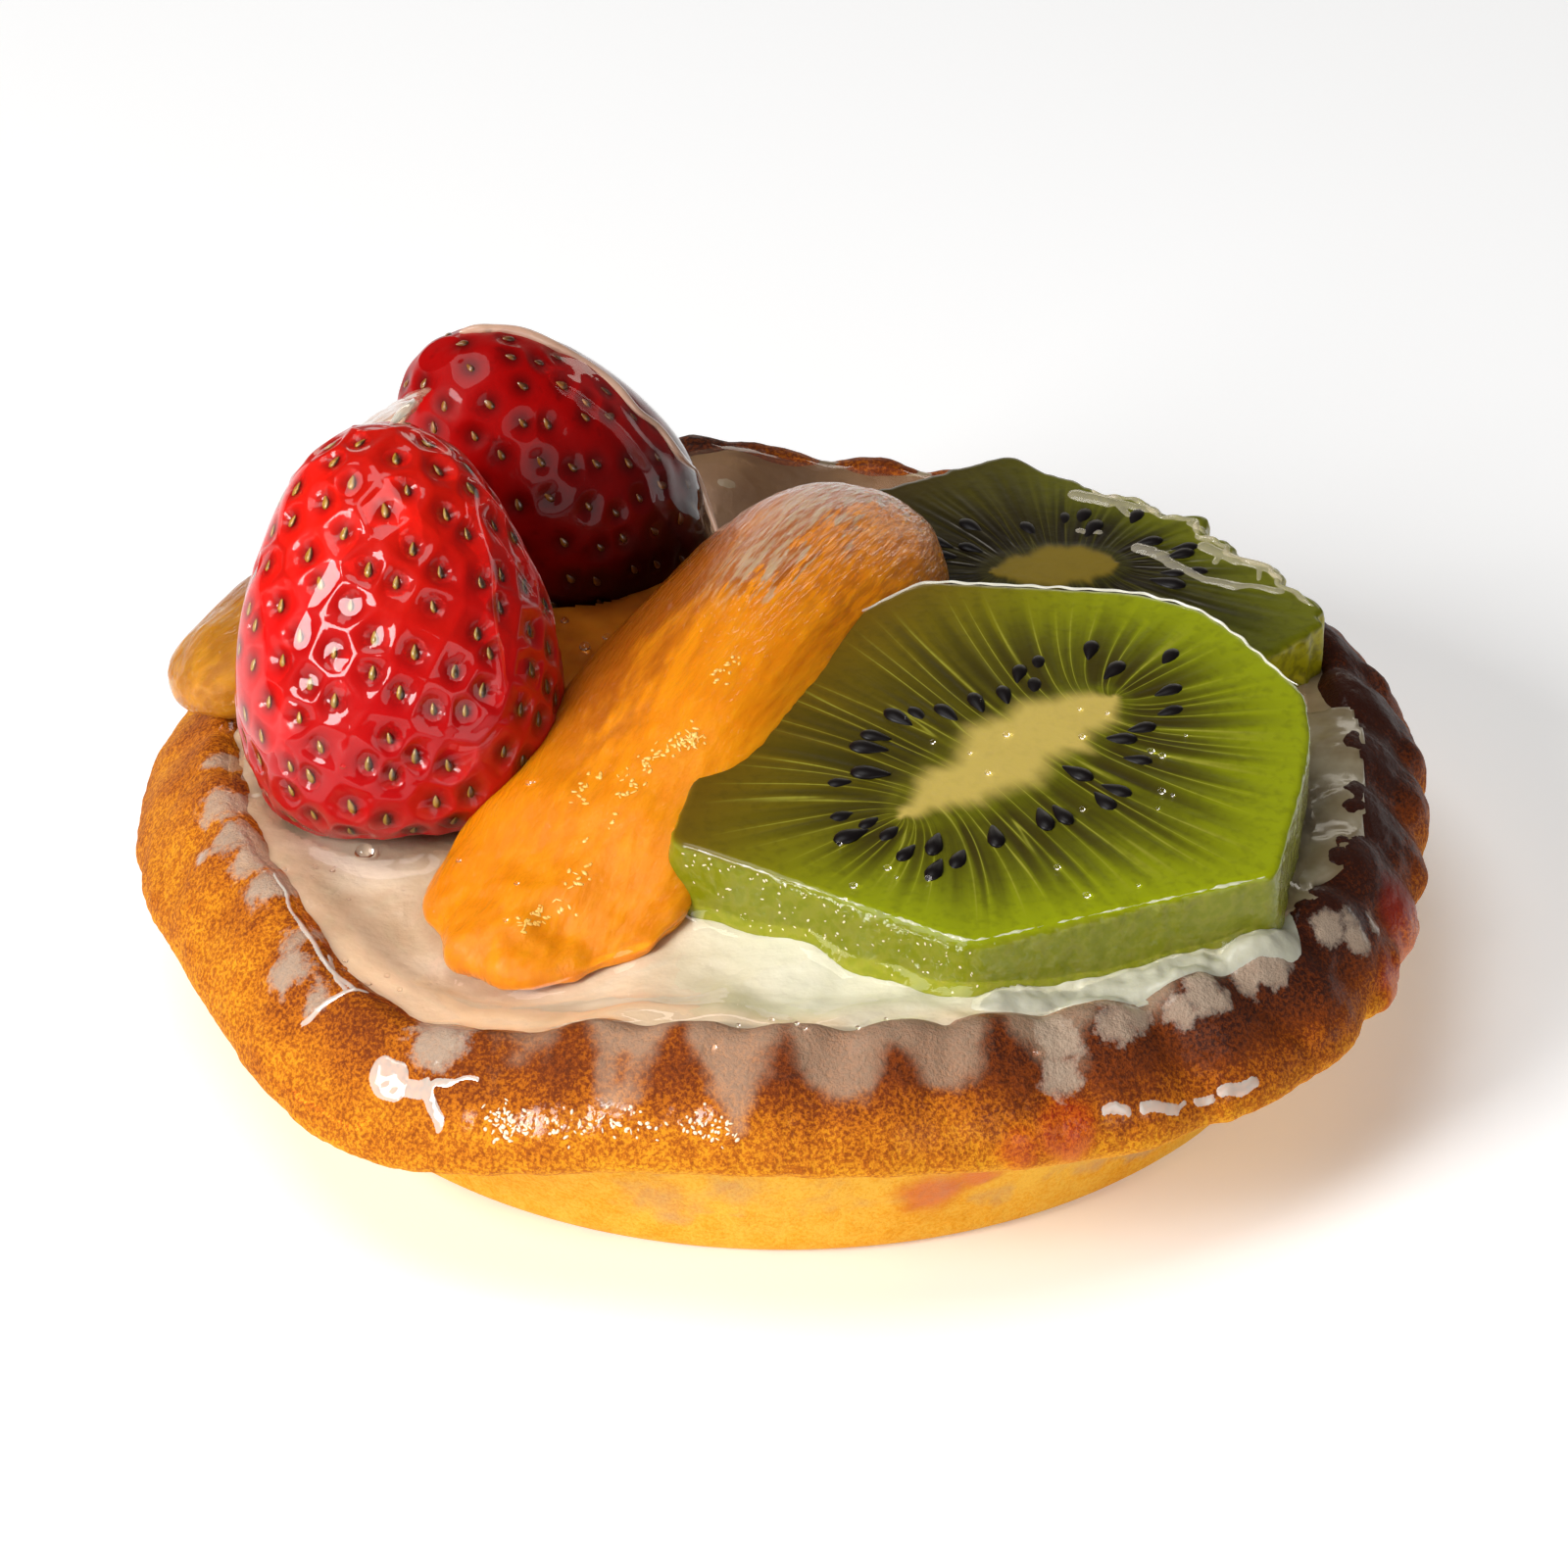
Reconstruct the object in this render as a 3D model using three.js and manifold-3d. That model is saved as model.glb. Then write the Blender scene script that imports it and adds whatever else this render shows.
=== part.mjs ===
// Fruit tart: a round shortcrust case with a crimped rim, a bed of pastry cream, two hulled strawberries
// standing point up, a long peach wedge, a short peach wedge behind them, and two peeled kiwi slices.
// Millimetres, +Z up. The origin is the centre of the flat underside; the front of the tart is -Y.
import * as THREE from "three";
import Module from "manifold-3d";
import { ParametricGeometry } from "three/addons/geometries/ParametricGeometry.js";
import { mergeVertices } from "three/addons/utils/BufferGeometryUtils.js";

const wasm = await Module();
wasm.setup();

// ---- Driving dimensions -------------------------------------------------------------------------------
const GAP = 0.3; // kept between two pieces that touch
const SLIVER = 0.06; // detail finer than this, left along a cut, is smoothed away
const CASE = {
  baseRadius: 38.2, // flat foot
  rimRadius: 47.6, // outer edge of the crimped rim
  crestRadius: 42.3, // highest line of the rim
  creamRadius: 39.6, // where the rim meets the cream
  edgeHeight: 11.3,
  crestHeight: 20.1,
  creamHeight: 18.4,
  floor: 4.2, // thickness of the bottom
  wall: 3.6, // thickness of the side
  flutes: 36, // crimps round the rim
  fluteDepth: 1.1, // on top of the rim
  edgeWave: 0.7, // the same crimps seen at its outer edge
};
// Hand-made unevenness of the rim: where it swells out or up. Angles in degrees, 0 is +X, 90 is the back.
const RIM_SWELLS = [
  { at: -128, spread: 26, out: 2.6, up: -2.0 },
  { at: -92, spread: 40, out: 0.4, up: 1.6 },
  { at: -40, spread: 36, out: 2.0, up: -0.4 },
  { at: 24, spread: 34, out: 1.2, up: 0.8 },
  { at: 92, spread: 60, out: 0.2, up: 0.9 },
  { at: 168, spread: 26, out: 0.8, up: -1.4 },
];
const KIWI = { thickness: 6.4, edgeRound: 0.7, cornerRound: 2.4 };
const KIWI_SEED = { count: 24, length: 2.1, width: 1.2, height: 0.7, proud: 0.23 };
const BERRY_SEED = { length: 1.5, width: 0.8, proud: 0.28 };

// ---- Small helpers ------------------------------------------------------------------------------------
const TURN = Math.PI * 2;
const radians = (degrees) => (degrees * Math.PI) / 180;
const mix = (a, b, t) => a + (b - a) * t;

// 0 below the low limit, 1 above the high one, smooth between.
function ramp(x, low, high) {
  return THREE.MathUtils.smoothstep(x, low, high);
}

// 1 at the centre angle, falling smoothly to 0 at that many radians on either side.
function swellAt(angle, centre, spread) {
  const away = Math.abs(Math.atan2(Math.sin(angle - centre), Math.cos(angle - centre)));
  return away < spread ? 0.5 + 0.5 * Math.cos((Math.PI * away) / spread) : 0;
}

// Smooth unevenness between about -1 and 1, repeatable and closed over a full turn.
function ripple(angle, height, seed) {
  return (
    0.5 * Math.sin(3 * angle + 1.7 * seed + 0.21 * height) +
    0.3 * Math.sin(5 * angle - 2.3 * seed + 0.37 * height) +
    0.2 * Math.sin(9 * angle + 0.9 * seed - 0.5 * height)
  );
}

// A closed geometry as a manifold solid, with shared vertices merged.
function solidFrom(geometry) {
  geometry.deleteAttribute("normal");
  geometry.deleteAttribute("uv");
  const merged = mergeVertices(geometry, 1e-3);
  const mesh = new wasm.Mesh({
    numProp: 3,
    vertProperties: merged.attributes.position.array,
    triVerts: new Uint32Array(merged.index.array),
  });
  return new wasm.Manifold(mesh);
}

// The surface that pointAt(angle, share) sweeps, closed at share 0 and 1 where its ring shrinks to a point.
function sweptSolid(pointAt, around, along) {
  const place = (u, v, target) => target.copy(pointAt((u % 1) * TURN, v));
  return solidFrom(new ParametricGeometry(place, around, along));
}

// A solid less its cutters: the largest body left, without scraps or slivers.
function cut(solid, ...cutters) {
  const left = cutters.reduce((whole, cutter) => whole.subtract(cutter), solid);
  const bodies = left.simplify(SLIVER).decompose();
  return bodies.reduce((best, body) => (body.volume() > best.volume() ? body : best));
}

// A mesh of a solid, whose own frame is the given placement.
function pieceFrom(solid, name, placement, colour, roughness) {
  const { vertProperties, triVerts } = solid.getMesh();
  const geometry = new THREE.BufferGeometry();
  geometry.setAttribute("position", new THREE.Float32BufferAttribute(vertProperties, 3));
  geometry.setIndex([...triVerts]);
  geometry.applyMatrix4(placement.clone().invert());
  geometry.computeVertexNormals();
  const material = new THREE.MeshStandardMaterial({ color: colour, roughness, metalness: 0 });
  const mesh = new THREE.Mesh(geometry, material);
  mesh.name = name;
  mesh.applyMatrix4(placement);
  return mesh;
}

// ---- Pastry case --------------------------------------------------------------------------------------
function rimSwell(angle, way) {
  return RIM_SWELLS.reduce((sum, s) => sum + s[way] * swellAt(angle, radians(s.at), radians(s.spread)), 0);
}

// 0 on a crimp's ridge, 1 in the groove beside it. The crimps are unevenly spaced.
function groove(angle) {
  const uneven = 0.45 * Math.sin(2 * angle + 0.6) + 0.3 * Math.sin(5 * angle + 2.1);
  return 0.5 - 0.5 * Math.cos(CASE.flutes * angle + uneven);
}

// The case's section: out along the foot, up the side, round the rim and down into the hollow. Grown, it
// stands that far outside the plain one all round.
function caseSection(grow) {
  const c = CASE;
  const rim = new THREE.SplineCurve([
    new THREE.Vector2(c.rimRadius - 2.6, c.edgeHeight - 0.9),
    new THREE.Vector2(c.rimRadius, c.edgeHeight + 0.6),
    new THREE.Vector2(c.rimRadius - 1.1, c.edgeHeight + 4.1),
    new THREE.Vector2(c.crestRadius, c.crestHeight),
    new THREE.Vector2(c.creamRadius, c.creamHeight + 0.5),
    new THREE.Vector2(c.creamRadius - 1.7, c.creamHeight - 2.6),
  ]);
  const section = [
    new THREE.Vector2(0, 0),
    new THREE.Vector2(c.baseRadius - 0.9, 0),
    new THREE.Vector2(c.baseRadius, 0.8),
    new THREE.Vector2(mix(c.baseRadius, c.rimRadius, 0.4), c.edgeHeight * 0.8),
    ...rim.getPoints(6),
    new THREE.Vector2(c.baseRadius - c.wall, c.floor),
    new THREE.Vector2(0, c.floor),
  ];
  return section.map((point, i) => {
    const before = section[Math.max(0, i - 1)];
    const after = section[Math.min(section.length - 1, i + 1)];
    const along = after.clone().sub(before).normalize();
    return new THREE.Vector2(point.x && point.x + along.y * grow, point.y - along.x * grow);
  });
}

// The section turned round the axis, then swollen, crimped and waved as by hand.
function caseSolid(grow) {
  const { rimRadius, crestRadius, creamRadius, edgeHeight, crestHeight } = CASE;
  const { flutes, fluteDepth, edgeWave } = CASE;
  const lathe = new THREE.LatheGeometry(caseSection(grow), flutes * 3);
  lathe.rotateX(Math.PI / 2);
  const at = lathe.attributes.position;
  const point = new THREE.Vector3();
  for (let i = 0; i < at.count; i++) {
    point.fromBufferAttribute(at, i);
    const radius = Math.hypot(point.x, point.y);
    if (radius < 1e-6) continue;
    const angle = Math.atan2(point.y, point.x);
    const onRim = ramp(point.z, 5, edgeHeight + 1) * ramp(radius, crestRadius - 12, creamRadius);
    const onTop =
      ramp(point.z, edgeHeight + 2, crestHeight - 1.5) * ramp(radius, creamRadius - 3, creamRadius);
    const onEdge = ramp(radius, rimRadius - 4, rimRadius) * ramp(point.z, edgeHeight - 2, edgeHeight);
    const out =
      onRim * (rimSwell(angle, "out") + 0.35 * ripple(angle, point.z, 2)) -
      onEdge * edgeWave * groove(angle) +
      (1 - onRim) * 0.25 * ripple(angle, 3, 5) * ramp(point.z, 0, 3);
    const up =
      onRim * (rimSwell(angle, "up") + 0.25 * ripple(angle, 0, 4)) -
      onTop * fluteDepth * groove(angle);
    const scale = (radius + out) / radius;
    at.setXYZ(i, point.x * scale, point.y * scale, point.z + up);
  }
  return solidFrom(lathe);
}

// ---- Pastry cream -------------------------------------------------------------------------------------
// Thick under the front kiwi slice, where it bulges over the rim, and level elsewhere.
function creamTop(x, y) {
  const mound = Math.exp(-((x - 15) ** 2) / 420 - (y + 18) ** 2 / 260);
  const lumps = 0.22 * Math.sin(0.31 * x + 0.5) * Math.cos(0.27 * y) + 0.12 * Math.sin(0.7 * x - 0.45 * y);
  return CASE.creamHeight - 0.5 + lumps + 5.4 * mound * ramp(41 - Math.hypot(x, y), 0, 12);
}

// A plug that fills the hollow and reaches into the pastry, which cuts it back.
function creamSolid() {
  const inner = CASE.baseRadius - CASE.wall;
  const outline = (angle) => CASE.creamRadius + 1.6 + rimSwell(angle, "out") + 0.35 * ripple(angle, 1, 7);
  const pointAt = (angle, share) => {
    const below = share < 0.25;
    const climb = ramp(share, 0.1, 0.25);
    const shrink = Math.sqrt(Math.min(1, (1 - share) / 0.75));
    const radius = below ? mix(share * 10 * inner, outline(angle), climb) : outline(angle) * shrink;
    const x = radius * Math.cos(angle);
    const y = radius * Math.sin(angle);
    return new THREE.Vector3(x, y, below ? mix(CASE.floor, CASE.creamHeight - 0.7, climb) : creamTop(x, y));
  };
  return sweptSolid(pointAt, 44, 14);
}

// ---- Strawberries -------------------------------------------------------------------------------------
const FRONT_BERRY = {
  hull: new THREE.Vector3(-27.4, -7.6, 17.6),
  tip: new THREE.Vector3(-29.2, 3.0, 44.6),
  radius: 11.9,
  flat: 0.94,
  seed: 1,
};
const REAR_BERRY = {
  hull: new THREE.Vector3(-11.6, 24.6, 18.8),
  tip: new THREE.Vector3(-23.2, 19.0, 42.4),
  radius: 10.2,
  flat: 0.96,
  seed: 6,
};
// Share of the length from the cut hull, then share of the widest radius there.
const BERRY_OUTLINE = new THREE.SplineCurve([
  new THREE.Vector2(0, 0.62),
  new THREE.Vector2(0.08, 0.86),
  new THREE.Vector2(0.3, 1),
  new THREE.Vector2(0.54, 0.93),
  new THREE.Vector2(0.76, 0.73),
  new THREE.Vector2(0.92, 0.48),
  new THREE.Vector2(1, 0.18),
]);

// The surface of a strawberry in its own frame: hull at the origin, tip up +Z.
function berryPoint(berry, angle, step, grow) {
  const length = berry.hull.distanceTo(berry.tip);
  const outline = BERRY_OUTLINE.getPoint(step);
  const lobes = 1 + 0.025 * ripple(angle, step * 20, berry.seed);
  const radius = berry.radius * outline.y * lobes + grow;
  return new THREE.Vector3(
    radius * Math.cos(angle),
    radius * berry.flat * Math.sin(angle),
    outline.x * length + mix(-grow, grow, step),
  );
}

function berryPlacement(berry) {
  const lean = new THREE.Quaternion().setFromUnitVectors(
    new THREE.Vector3(0, 0, 1),
    berry.tip.clone().sub(berry.hull).normalize(),
  );
  return new THREE.Matrix4().compose(berry.hull, lean, new THREE.Vector3(1, 1, 1));
}

// The fruit without seeds. The first and last steps close its two ends.
function berryBody(berry, grow) {
  const rings = 10;
  const pointAt = (angle, share) => {
    const ring = Math.round(share * (rings + 2)) - 1;
    const point = berryPoint(berry, angle, THREE.MathUtils.clamp(ring / rings, 0, 1), grow);
    const closing = ring < 0 || ring > rings;
    return closing ? new THREE.Vector3(0, 0, point.z + (ring < 0 ? 0 : 0.25)) : point;
  };
  return sweptSolid(pointAt, 22, rings + 2);
}

// Seeds sit in rows round the fruit, each row turned half a step from the last.
function berrySeeds(berry) {
  const rows = 8;
  const seeds = [];
  for (let row = 0; row < rows; row++) {
    const step = mix(0.14, 0.95, row / (rows - 1));
    const outline = BERRY_OUTLINE.getPoint(step);
    const slope = BERRY_OUTLINE.getTangent(step);
    const lean = Math.atan2(slope.y * berry.radius, slope.x * berry.hull.distanceTo(berry.tip));
    const around = Math.max(3, Math.round((TURN * berry.radius * outline.y) / 6.8));
    for (let k = 0; k < around; k++) {
      const angle = (TURN * (k + (row % 2) / 2 + 0.18 * Math.sin(7 * k + 3 * row))) / around;
      const centre = berryPoint(berry, angle, step, BERRY_SEED.proud - BERRY_SEED.width / 2);
      const seed = new THREE.OctahedronGeometry(0.5, 0);
      seed.scale(BERRY_SEED.width, BERRY_SEED.width, BERRY_SEED.length);
      seed.rotateY(lean);
      seed.rotateZ(angle);
      seed.translate(centre.x, centre.y, centre.z);
      seeds.push(solidFrom(seed));
    }
  }
  return seeds;
}

function berrySolid(berry) {
  const whole = wasm.Manifold.union([berryBody(berry, 0), ...berrySeeds(berry)]);
  return whole.transform(berryPlacement(berry).elements);
}

// ---- Kiwi slices --------------------------------------------------------------------------------------
// A slice lies on its own plane: centre is the middle of the cut face, pitch lifts its back edge, roll its
// left edge. Corners are where the knife's facets meet: [angle in degrees, radius].
const FRONT_KIWI = {
  centre: new THREE.Vector3(15.4, -13.8, 26.6),
  pitch: 8.0,
  roll: 0.6,
  corners: [
    [2, 23.9], [20, 24.0], [43, 22.2], [62, 21.8], [84, 20.2], [103, 20.8],
    [129, 19.4], [164, 21.0], [202, 26.2], [263, 22.9], [325, 25.0],
  ],
  core: { turn: 40, half: 10.6, thick: 3.4 },
};
const REAR_KIWI = {
  centre: new THREE.Vector3(19.0, 15.2, 24.6),
  pitch: 4.5,
  roll: 0.4,
  corners: [
    [-14, 21.8], [4, 20.6], [25, 15.6], [50, 13.6], [78, 15.2], [104, 17.6],
    [140, 18.8], [196, 20.4], [236, 20.4], [290, 20.6],
  ],
  core: { turn: 12, half: 6.4, thick: 3.6 },
};

function kiwiPlacement(slice) {
  const tilt = new THREE.Euler(radians(slice.pitch), radians(slice.roll), 0);
  return new THREE.Matrix4().compose(
    slice.centre,
    new THREE.Quaternion().setFromEuler(tilt),
    new THREE.Vector3(1, 1, 1),
  );
}

function kiwiOutline(slice, grow) {
  const corners = slice.corners.map(([angle, radius]) => {
    const r = radius + grow - KIWI.edgeRound;
    return new THREE.Vector2(r * Math.cos(radians(angle)), r * Math.sin(radians(angle)));
  });
  const shape = new THREE.Shape();
  corners.forEach((corner, i) => {
    const before = corners[(i + corners.length - 1) % corners.length];
    const after = corners[(i + 1) % corners.length];
    const enter = corner.clone().lerp(before, KIWI.cornerRound / corner.distanceTo(before));
    const leave = corner.clone().lerp(after, KIWI.cornerRound / corner.distanceTo(after));
    if (i === 0) shape.moveTo(enter.x, enter.y);
    else shape.lineTo(enter.x, enter.y);
    shape.quadraticCurveTo(corner.x, corner.y, leave.x, leave.y);
  });
  shape.closePath();
  return shape;
}

function kiwiSlab(slice, grow) {
  const slab = new THREE.ExtrudeGeometry(kiwiOutline(slice, grow), {
    depth: KIWI.thickness + 2 * grow - 2 * KIWI.edgeRound,
    bevelThickness: KIWI.edgeRound,
    bevelSize: KIWI.edgeRound,
    bevelSegments: 2,
    curveSegments: 3,
  });
  slab.translate(0, 0, KIWI.edgeRound - KIWI.thickness - grow);
  return solidFrom(slab);
}

// Seeds ring the pale core, long way out, each standing a little above the cut face.
function kiwiSeeds(slice) {
  const { turn, half, thick } = slice.core;
  const sunk = KIWI_SEED.proud - KIWI_SEED.height / 2;
  const seeds = [];
  for (let k = 0; k < KIWI_SEED.count; k++) {
    const angle = (TURN * (k + 0.25 * Math.sin(5 * k))) / KIWI_SEED.count;
    const out = 3.4 + 1.3 * Math.sin(2.6 * k);
    const seed = new THREE.OctahedronGeometry(0.5, 0);
    seed.scale(KIWI_SEED.length, KIWI_SEED.width, KIWI_SEED.height);
    seed.rotateZ(angle);
    seed.translate((half + out) * Math.cos(angle), (thick + out) * Math.sin(angle), sunk);
    seed.rotateZ(radians(turn));
    seeds.push(solidFrom(seed));
  }
  return seeds;
}

function kiwiSolid(slice) {
  const whole = wasm.Manifold.union([kiwiSlab(slice, 0), ...kiwiSeeds(slice)]);
  return whole.transform(kiwiPlacement(slice).elements);
}

// ---- Peach wedges -------------------------------------------------------------------------------------
// Stations along a wedge: the middle of its section, then half its width, height above and depth below.
const LONG_PEACH = {
  stations: [
    { at: [-19.2, -30.4, 18.6], half: 5.0, up: 1.3, down: 1.0 },
    { at: [-17.2, -24.4, 19.2], half: 9.0, up: 3.0, down: 1.6 },
    { at: [-13.2, -16.4, 21.4], half: 9.6, up: 4.6, down: 3.8 },
    { at: [-8.0, -7.0, 24.2], half: 9.6, up: 5.4, down: 6.2 },
    { at: [-2.4, 3.6, 25.4], half: 9.6, up: 6.0, down: 7.2 },
    { at: [2.8, 14.0, 25.6], half: 9.8, up: 6.2, down: 7.4 },
    { at: [6.6, 23.6, 25.2], half: 8.6, up: 5.6, down: 6.6 },
  ],
  seed: 3,
};
const SHORT_PEACH = {
  stations: [
    { at: [-43.0, 4.0, 20.6], half: 3.6, up: 2.2, down: 2.0 },
    { at: [-40.6, 9.6, 21.2], half: 5.0, up: 3.2, down: 3.0 },
    { at: [-36.4, 15.6, 21.6], half: 5.6, up: 3.6, down: 3.6 },
    { at: [-31.0, 21.2, 21.4], half: 5.4, up: 3.4, down: 3.4 },
    { at: [-25.6, 25.6, 20.6], half: 4.2, up: 2.6, down: 2.8 },
  ],
  seed: 8,
};

// A point of a wedge's skin: a ridged back above, a flatter belly below, rounded off at both ends.
function peachPoint(peach, angle, share, grow) {
  const spine = new THREE.CatmullRomCurve3(peach.stations.map((s) => new THREE.Vector3(...s.at)));
  const last = peach.stations.length - 1;
  const step = Math.min(last - 1e-6, share * last);
  const [near, far] = [peach.stations[Math.floor(step)], peach.stations[Math.floor(step) + 1]];
  const ease = ramp(step - Math.floor(step), 0, 1);
  const size = (key) => mix(near[key], far[key], ease) + grow;
  const middle = spine.getPoint(share);
  const along = spine.getTangent(share).setZ(0).normalize();
  const side = new THREE.Vector3(-along.y, along.x, 0);
  const ends = Math.sqrt(Math.max(0, 1 - Math.abs(2 * share - 1) ** 7));
  const sine = Math.sin(angle);
  const cosine = Math.cos(angle);
  const fullness = 1 + 0.05 * ripple(angle, share * 24, peach.seed) * ends;
  const across = Math.sign(cosine) * Math.abs(cosine) ** 0.86 * size("half") * fullness * ends;
  const height = sine > 0 ? size("up") * sine ** 1.12 : -size("down") * (-sine) ** 0.62;
  return middle
    .addScaledVector(side, across)
    .addScaledVector(along, (share - 0.5) * 2 * grow)
    .add(new THREE.Vector3(0, 0, height * ends * fullness));
}

function peachSolid(peach, grow) {
  const eased = (v) => 0.5 - 0.5 * Math.cos(Math.PI * v);
  const rings = 2 * peach.stations.length + 2;
  return sweptSolid((angle, v) => peachPoint(peach, angle, mix(v, eased(v), 0.75), grow), 18, rings);
}

// ---- The tart -----------------------------------------------------------------------------------------
const placed = (solid, placement) => solid.transform(placement.elements);
const berryRoom = (berry) => placed(berryBody(berry, GAP + BERRY_SEED.proud), berryPlacement(berry));
const kiwiRoom = (slice) => placed(kiwiSlab(slice, GAP), kiwiPlacement(slice));

// The room each piece needs, gap included. It is cut out of the pieces that give way to it.
const room = {
  pastry: caseSolid(GAP),
  berryFront: berryRoom(FRONT_BERRY),
  berryRear: berryRoom(REAR_BERRY),
  kiwiFront: kiwiRoom(FRONT_KIWI),
  kiwiRear: kiwiRoom(REAR_KIWI),
  peachLong: peachSolid(LONG_PEACH, GAP),
  peachShort: peachSolid(SHORT_PEACH, GAP),
};
const { pastry, berryFront, berryRear, kiwiFront, kiwiRear, peachLong } = room;

const solids = {
  pastry_case: caseSolid(0),
  pastry_cream: cut(creamSolid(), ...Object.values(room)),
  strawberry_front: cut(berrySolid(FRONT_BERRY), pastry),
  strawberry_rear: cut(berrySolid(REAR_BERRY), pastry, berryFront),
  kiwi_slice_front: cut(kiwiSolid(FRONT_KIWI), pastry),
  kiwi_slice_rear: cut(kiwiSolid(REAR_KIWI), pastry, kiwiFront),
  peach_wedge_long: cut(peachSolid(LONG_PEACH, 0), pastry, kiwiFront, kiwiRear, berryFront, berryRear),
  peach_wedge_short: cut(peachSolid(SHORT_PEACH, 0), pastry, berryFront, berryRear, peachLong),
};

// The frame each piece is placed by, its colour and its roughness.
const level = new THREE.Matrix4();
const finishes = {
  pastry_case: [level, 0xc9852f, 0.6],
  pastry_cream: [level, 0xefe8d4, 0.4],
  strawberry_front: [berryPlacement(FRONT_BERRY), 0xc8140f, 0.25],
  strawberry_rear: [berryPlacement(REAR_BERRY), 0xa8100e, 0.25],
  kiwi_slice_front: [kiwiPlacement(FRONT_KIWI), 0x7f9a1e, 0.25],
  kiwi_slice_rear: [kiwiPlacement(REAR_KIWI), 0x66781c, 0.25],
  peach_wedge_long: [level, 0xf29a14, 0.3],
  peach_wedge_short: [level, 0xd79a2a, 0.3],
};

const tart = new THREE.Group();
tart.name = "fruit_tart";
for (const [name, solid] of Object.entries(solids)) tart.add(pieceFrom(solid, name, ...finishes[name]));

export default tart;
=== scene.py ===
"""A fruit tart: a shortcrust case of pastry cream, kiwi slices, peaches and strawberries, under clear jelly.

Sizes are in millimetres, and become metres where a mesh is written. The tart stands on z = 0, its front
to -Y. Angles are in degrees from +X, anticlockwise from above, so that the front is at -90.
"""

import math

import bpy
import numpy as np
from mathutils import Euler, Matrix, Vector
from mathutils.bvhtree import BVHTree
from mathutils.kdtree import KDTree


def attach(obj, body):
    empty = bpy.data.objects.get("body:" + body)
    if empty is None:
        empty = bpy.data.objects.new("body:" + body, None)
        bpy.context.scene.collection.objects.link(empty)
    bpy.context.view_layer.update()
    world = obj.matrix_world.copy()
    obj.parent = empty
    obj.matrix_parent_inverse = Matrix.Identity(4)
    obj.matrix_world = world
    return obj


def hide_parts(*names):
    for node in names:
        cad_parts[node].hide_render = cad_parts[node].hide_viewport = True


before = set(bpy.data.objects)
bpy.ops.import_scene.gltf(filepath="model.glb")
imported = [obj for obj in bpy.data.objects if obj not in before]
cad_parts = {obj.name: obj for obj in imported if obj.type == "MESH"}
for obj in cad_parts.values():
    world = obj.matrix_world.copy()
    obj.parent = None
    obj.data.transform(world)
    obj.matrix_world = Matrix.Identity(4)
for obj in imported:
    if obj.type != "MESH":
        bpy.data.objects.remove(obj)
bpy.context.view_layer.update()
bpy.ops.object.select_all(action="DESELECT")
bpy.context.scene.view_settings.view_transform = "Standard"


# ---- Pastry case ---------------------------------------------------------------------------------------
# Shortcrust pressed into a tin and crimped by hand. It is sandy and pale gold below, browner up to the
# crimps, and nearly burnt at the right. Glaze has run over the crest and dried milky between the crimps.
MM = 0.001
TURN = 2 * math.pi
FOOT, CREAM_EDGE, CREST, RIM = 38.2, 39.6, 42.3, 47.6  # radii
FLOOR, EDGE_HEIGHT, CREAM_HEIGHT, CREST_HEIGHT = 4.2, 11.3, 18.4, 20.1
WALL = 3.6
CRIMPS, CRIMP_DEPTH, EDGE_WAVE = 36, 1.25, 0.8
# Where the rim swells, by hand: the angle, its spread, and how far out and up.
RIM_SWELLS = [
    (-128, 26, 2.6, -2.0),
    (-92, 40, 0.4, 1.6),
    (-40, 36, 2.0, -0.4),
    (24, 34, 1.2, 0.8),
    (92, 60, 0.2, 1.5),
    (98, 10, 0.5, 1.3),
    (168, 26, 0.8, -1.4),
]


def ramp(x, low, high):
    """0 below the low limit, 1 above the high one, smooth between."""
    t = np.clip((x - low) / (high - low), 0, 1)
    return t * t * (3 - 2 * t)


def near(angle, centre, spread):
    """1 at the centre angle, in degrees, falling smoothly to 0 at that spread on either side."""
    away = np.abs((np.degrees(angle) - centre + 180) % 360 - 180)
    return np.where(away < spread, 0.5 + 0.5 * np.cos(np.pi * away / spread), 0)


def ripple(angle, height, seed):
    """Smooth hand-made unevenness from about -1 to 1, closed over a full turn."""
    return (
        0.5 * np.sin(3 * angle + 1.7 * seed + 0.21 * height)
        + 0.3 * np.sin(5 * angle - 2.3 * seed + 0.37 * height)
        + 0.2 * np.sin(9 * angle + 0.9 * seed - 0.5 * height)
    )


def cloud(at, size, seed=0):
    """Smooth noise from -1 to 1 at an array of points, with lumps of about that size on each axis."""
    p = at / np.array(size) + 31.7 * (seed + 1)
    cell = np.floor(p).astype(np.int64)
    f = p - cell
    f = f * f * (3 - 2 * f)
    total = np.zeros(len(at))
    for corner in np.ndindex(2, 2, 2):
        c = cell + corner
        h = (c[:, 0] * 73856093) ^ (c[:, 1] * 19349663) ^ (c[:, 2] * 83492791) ^ (seed * 40503)
        h = (h ^ (h >> 13)) * 1274126177
        value = ((h ^ (h >> 16)) & 0xFFFF) / 32767.5 - 1
        total += value * np.prod(np.where(corner, f, 1 - f), axis=1)
    return total


def spline(points, share):
    """Points of a smooth curve through the given ones, at shares 0 to 1 of its spans."""
    points = np.array(points, float)
    last = len(points) - 1
    at = np.clip(share, 0, 1) * last
    i = np.minimum(at.astype(int), last - 1)
    t = (at - i)[:, None]
    before, a, b, after = (points[np.clip(i + k, 0, last)] for k in (-1, 0, 1, 2))
    lean_a, lean_b = (b - before) / 2, (after - a) / 2
    return (
        (2 * a - 2 * b + lean_a + lean_b) * t**3
        + (3 * b - 3 * a - 2 * lean_a - lean_b) * t**2
        + lean_a * t
        + a
    )


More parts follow.
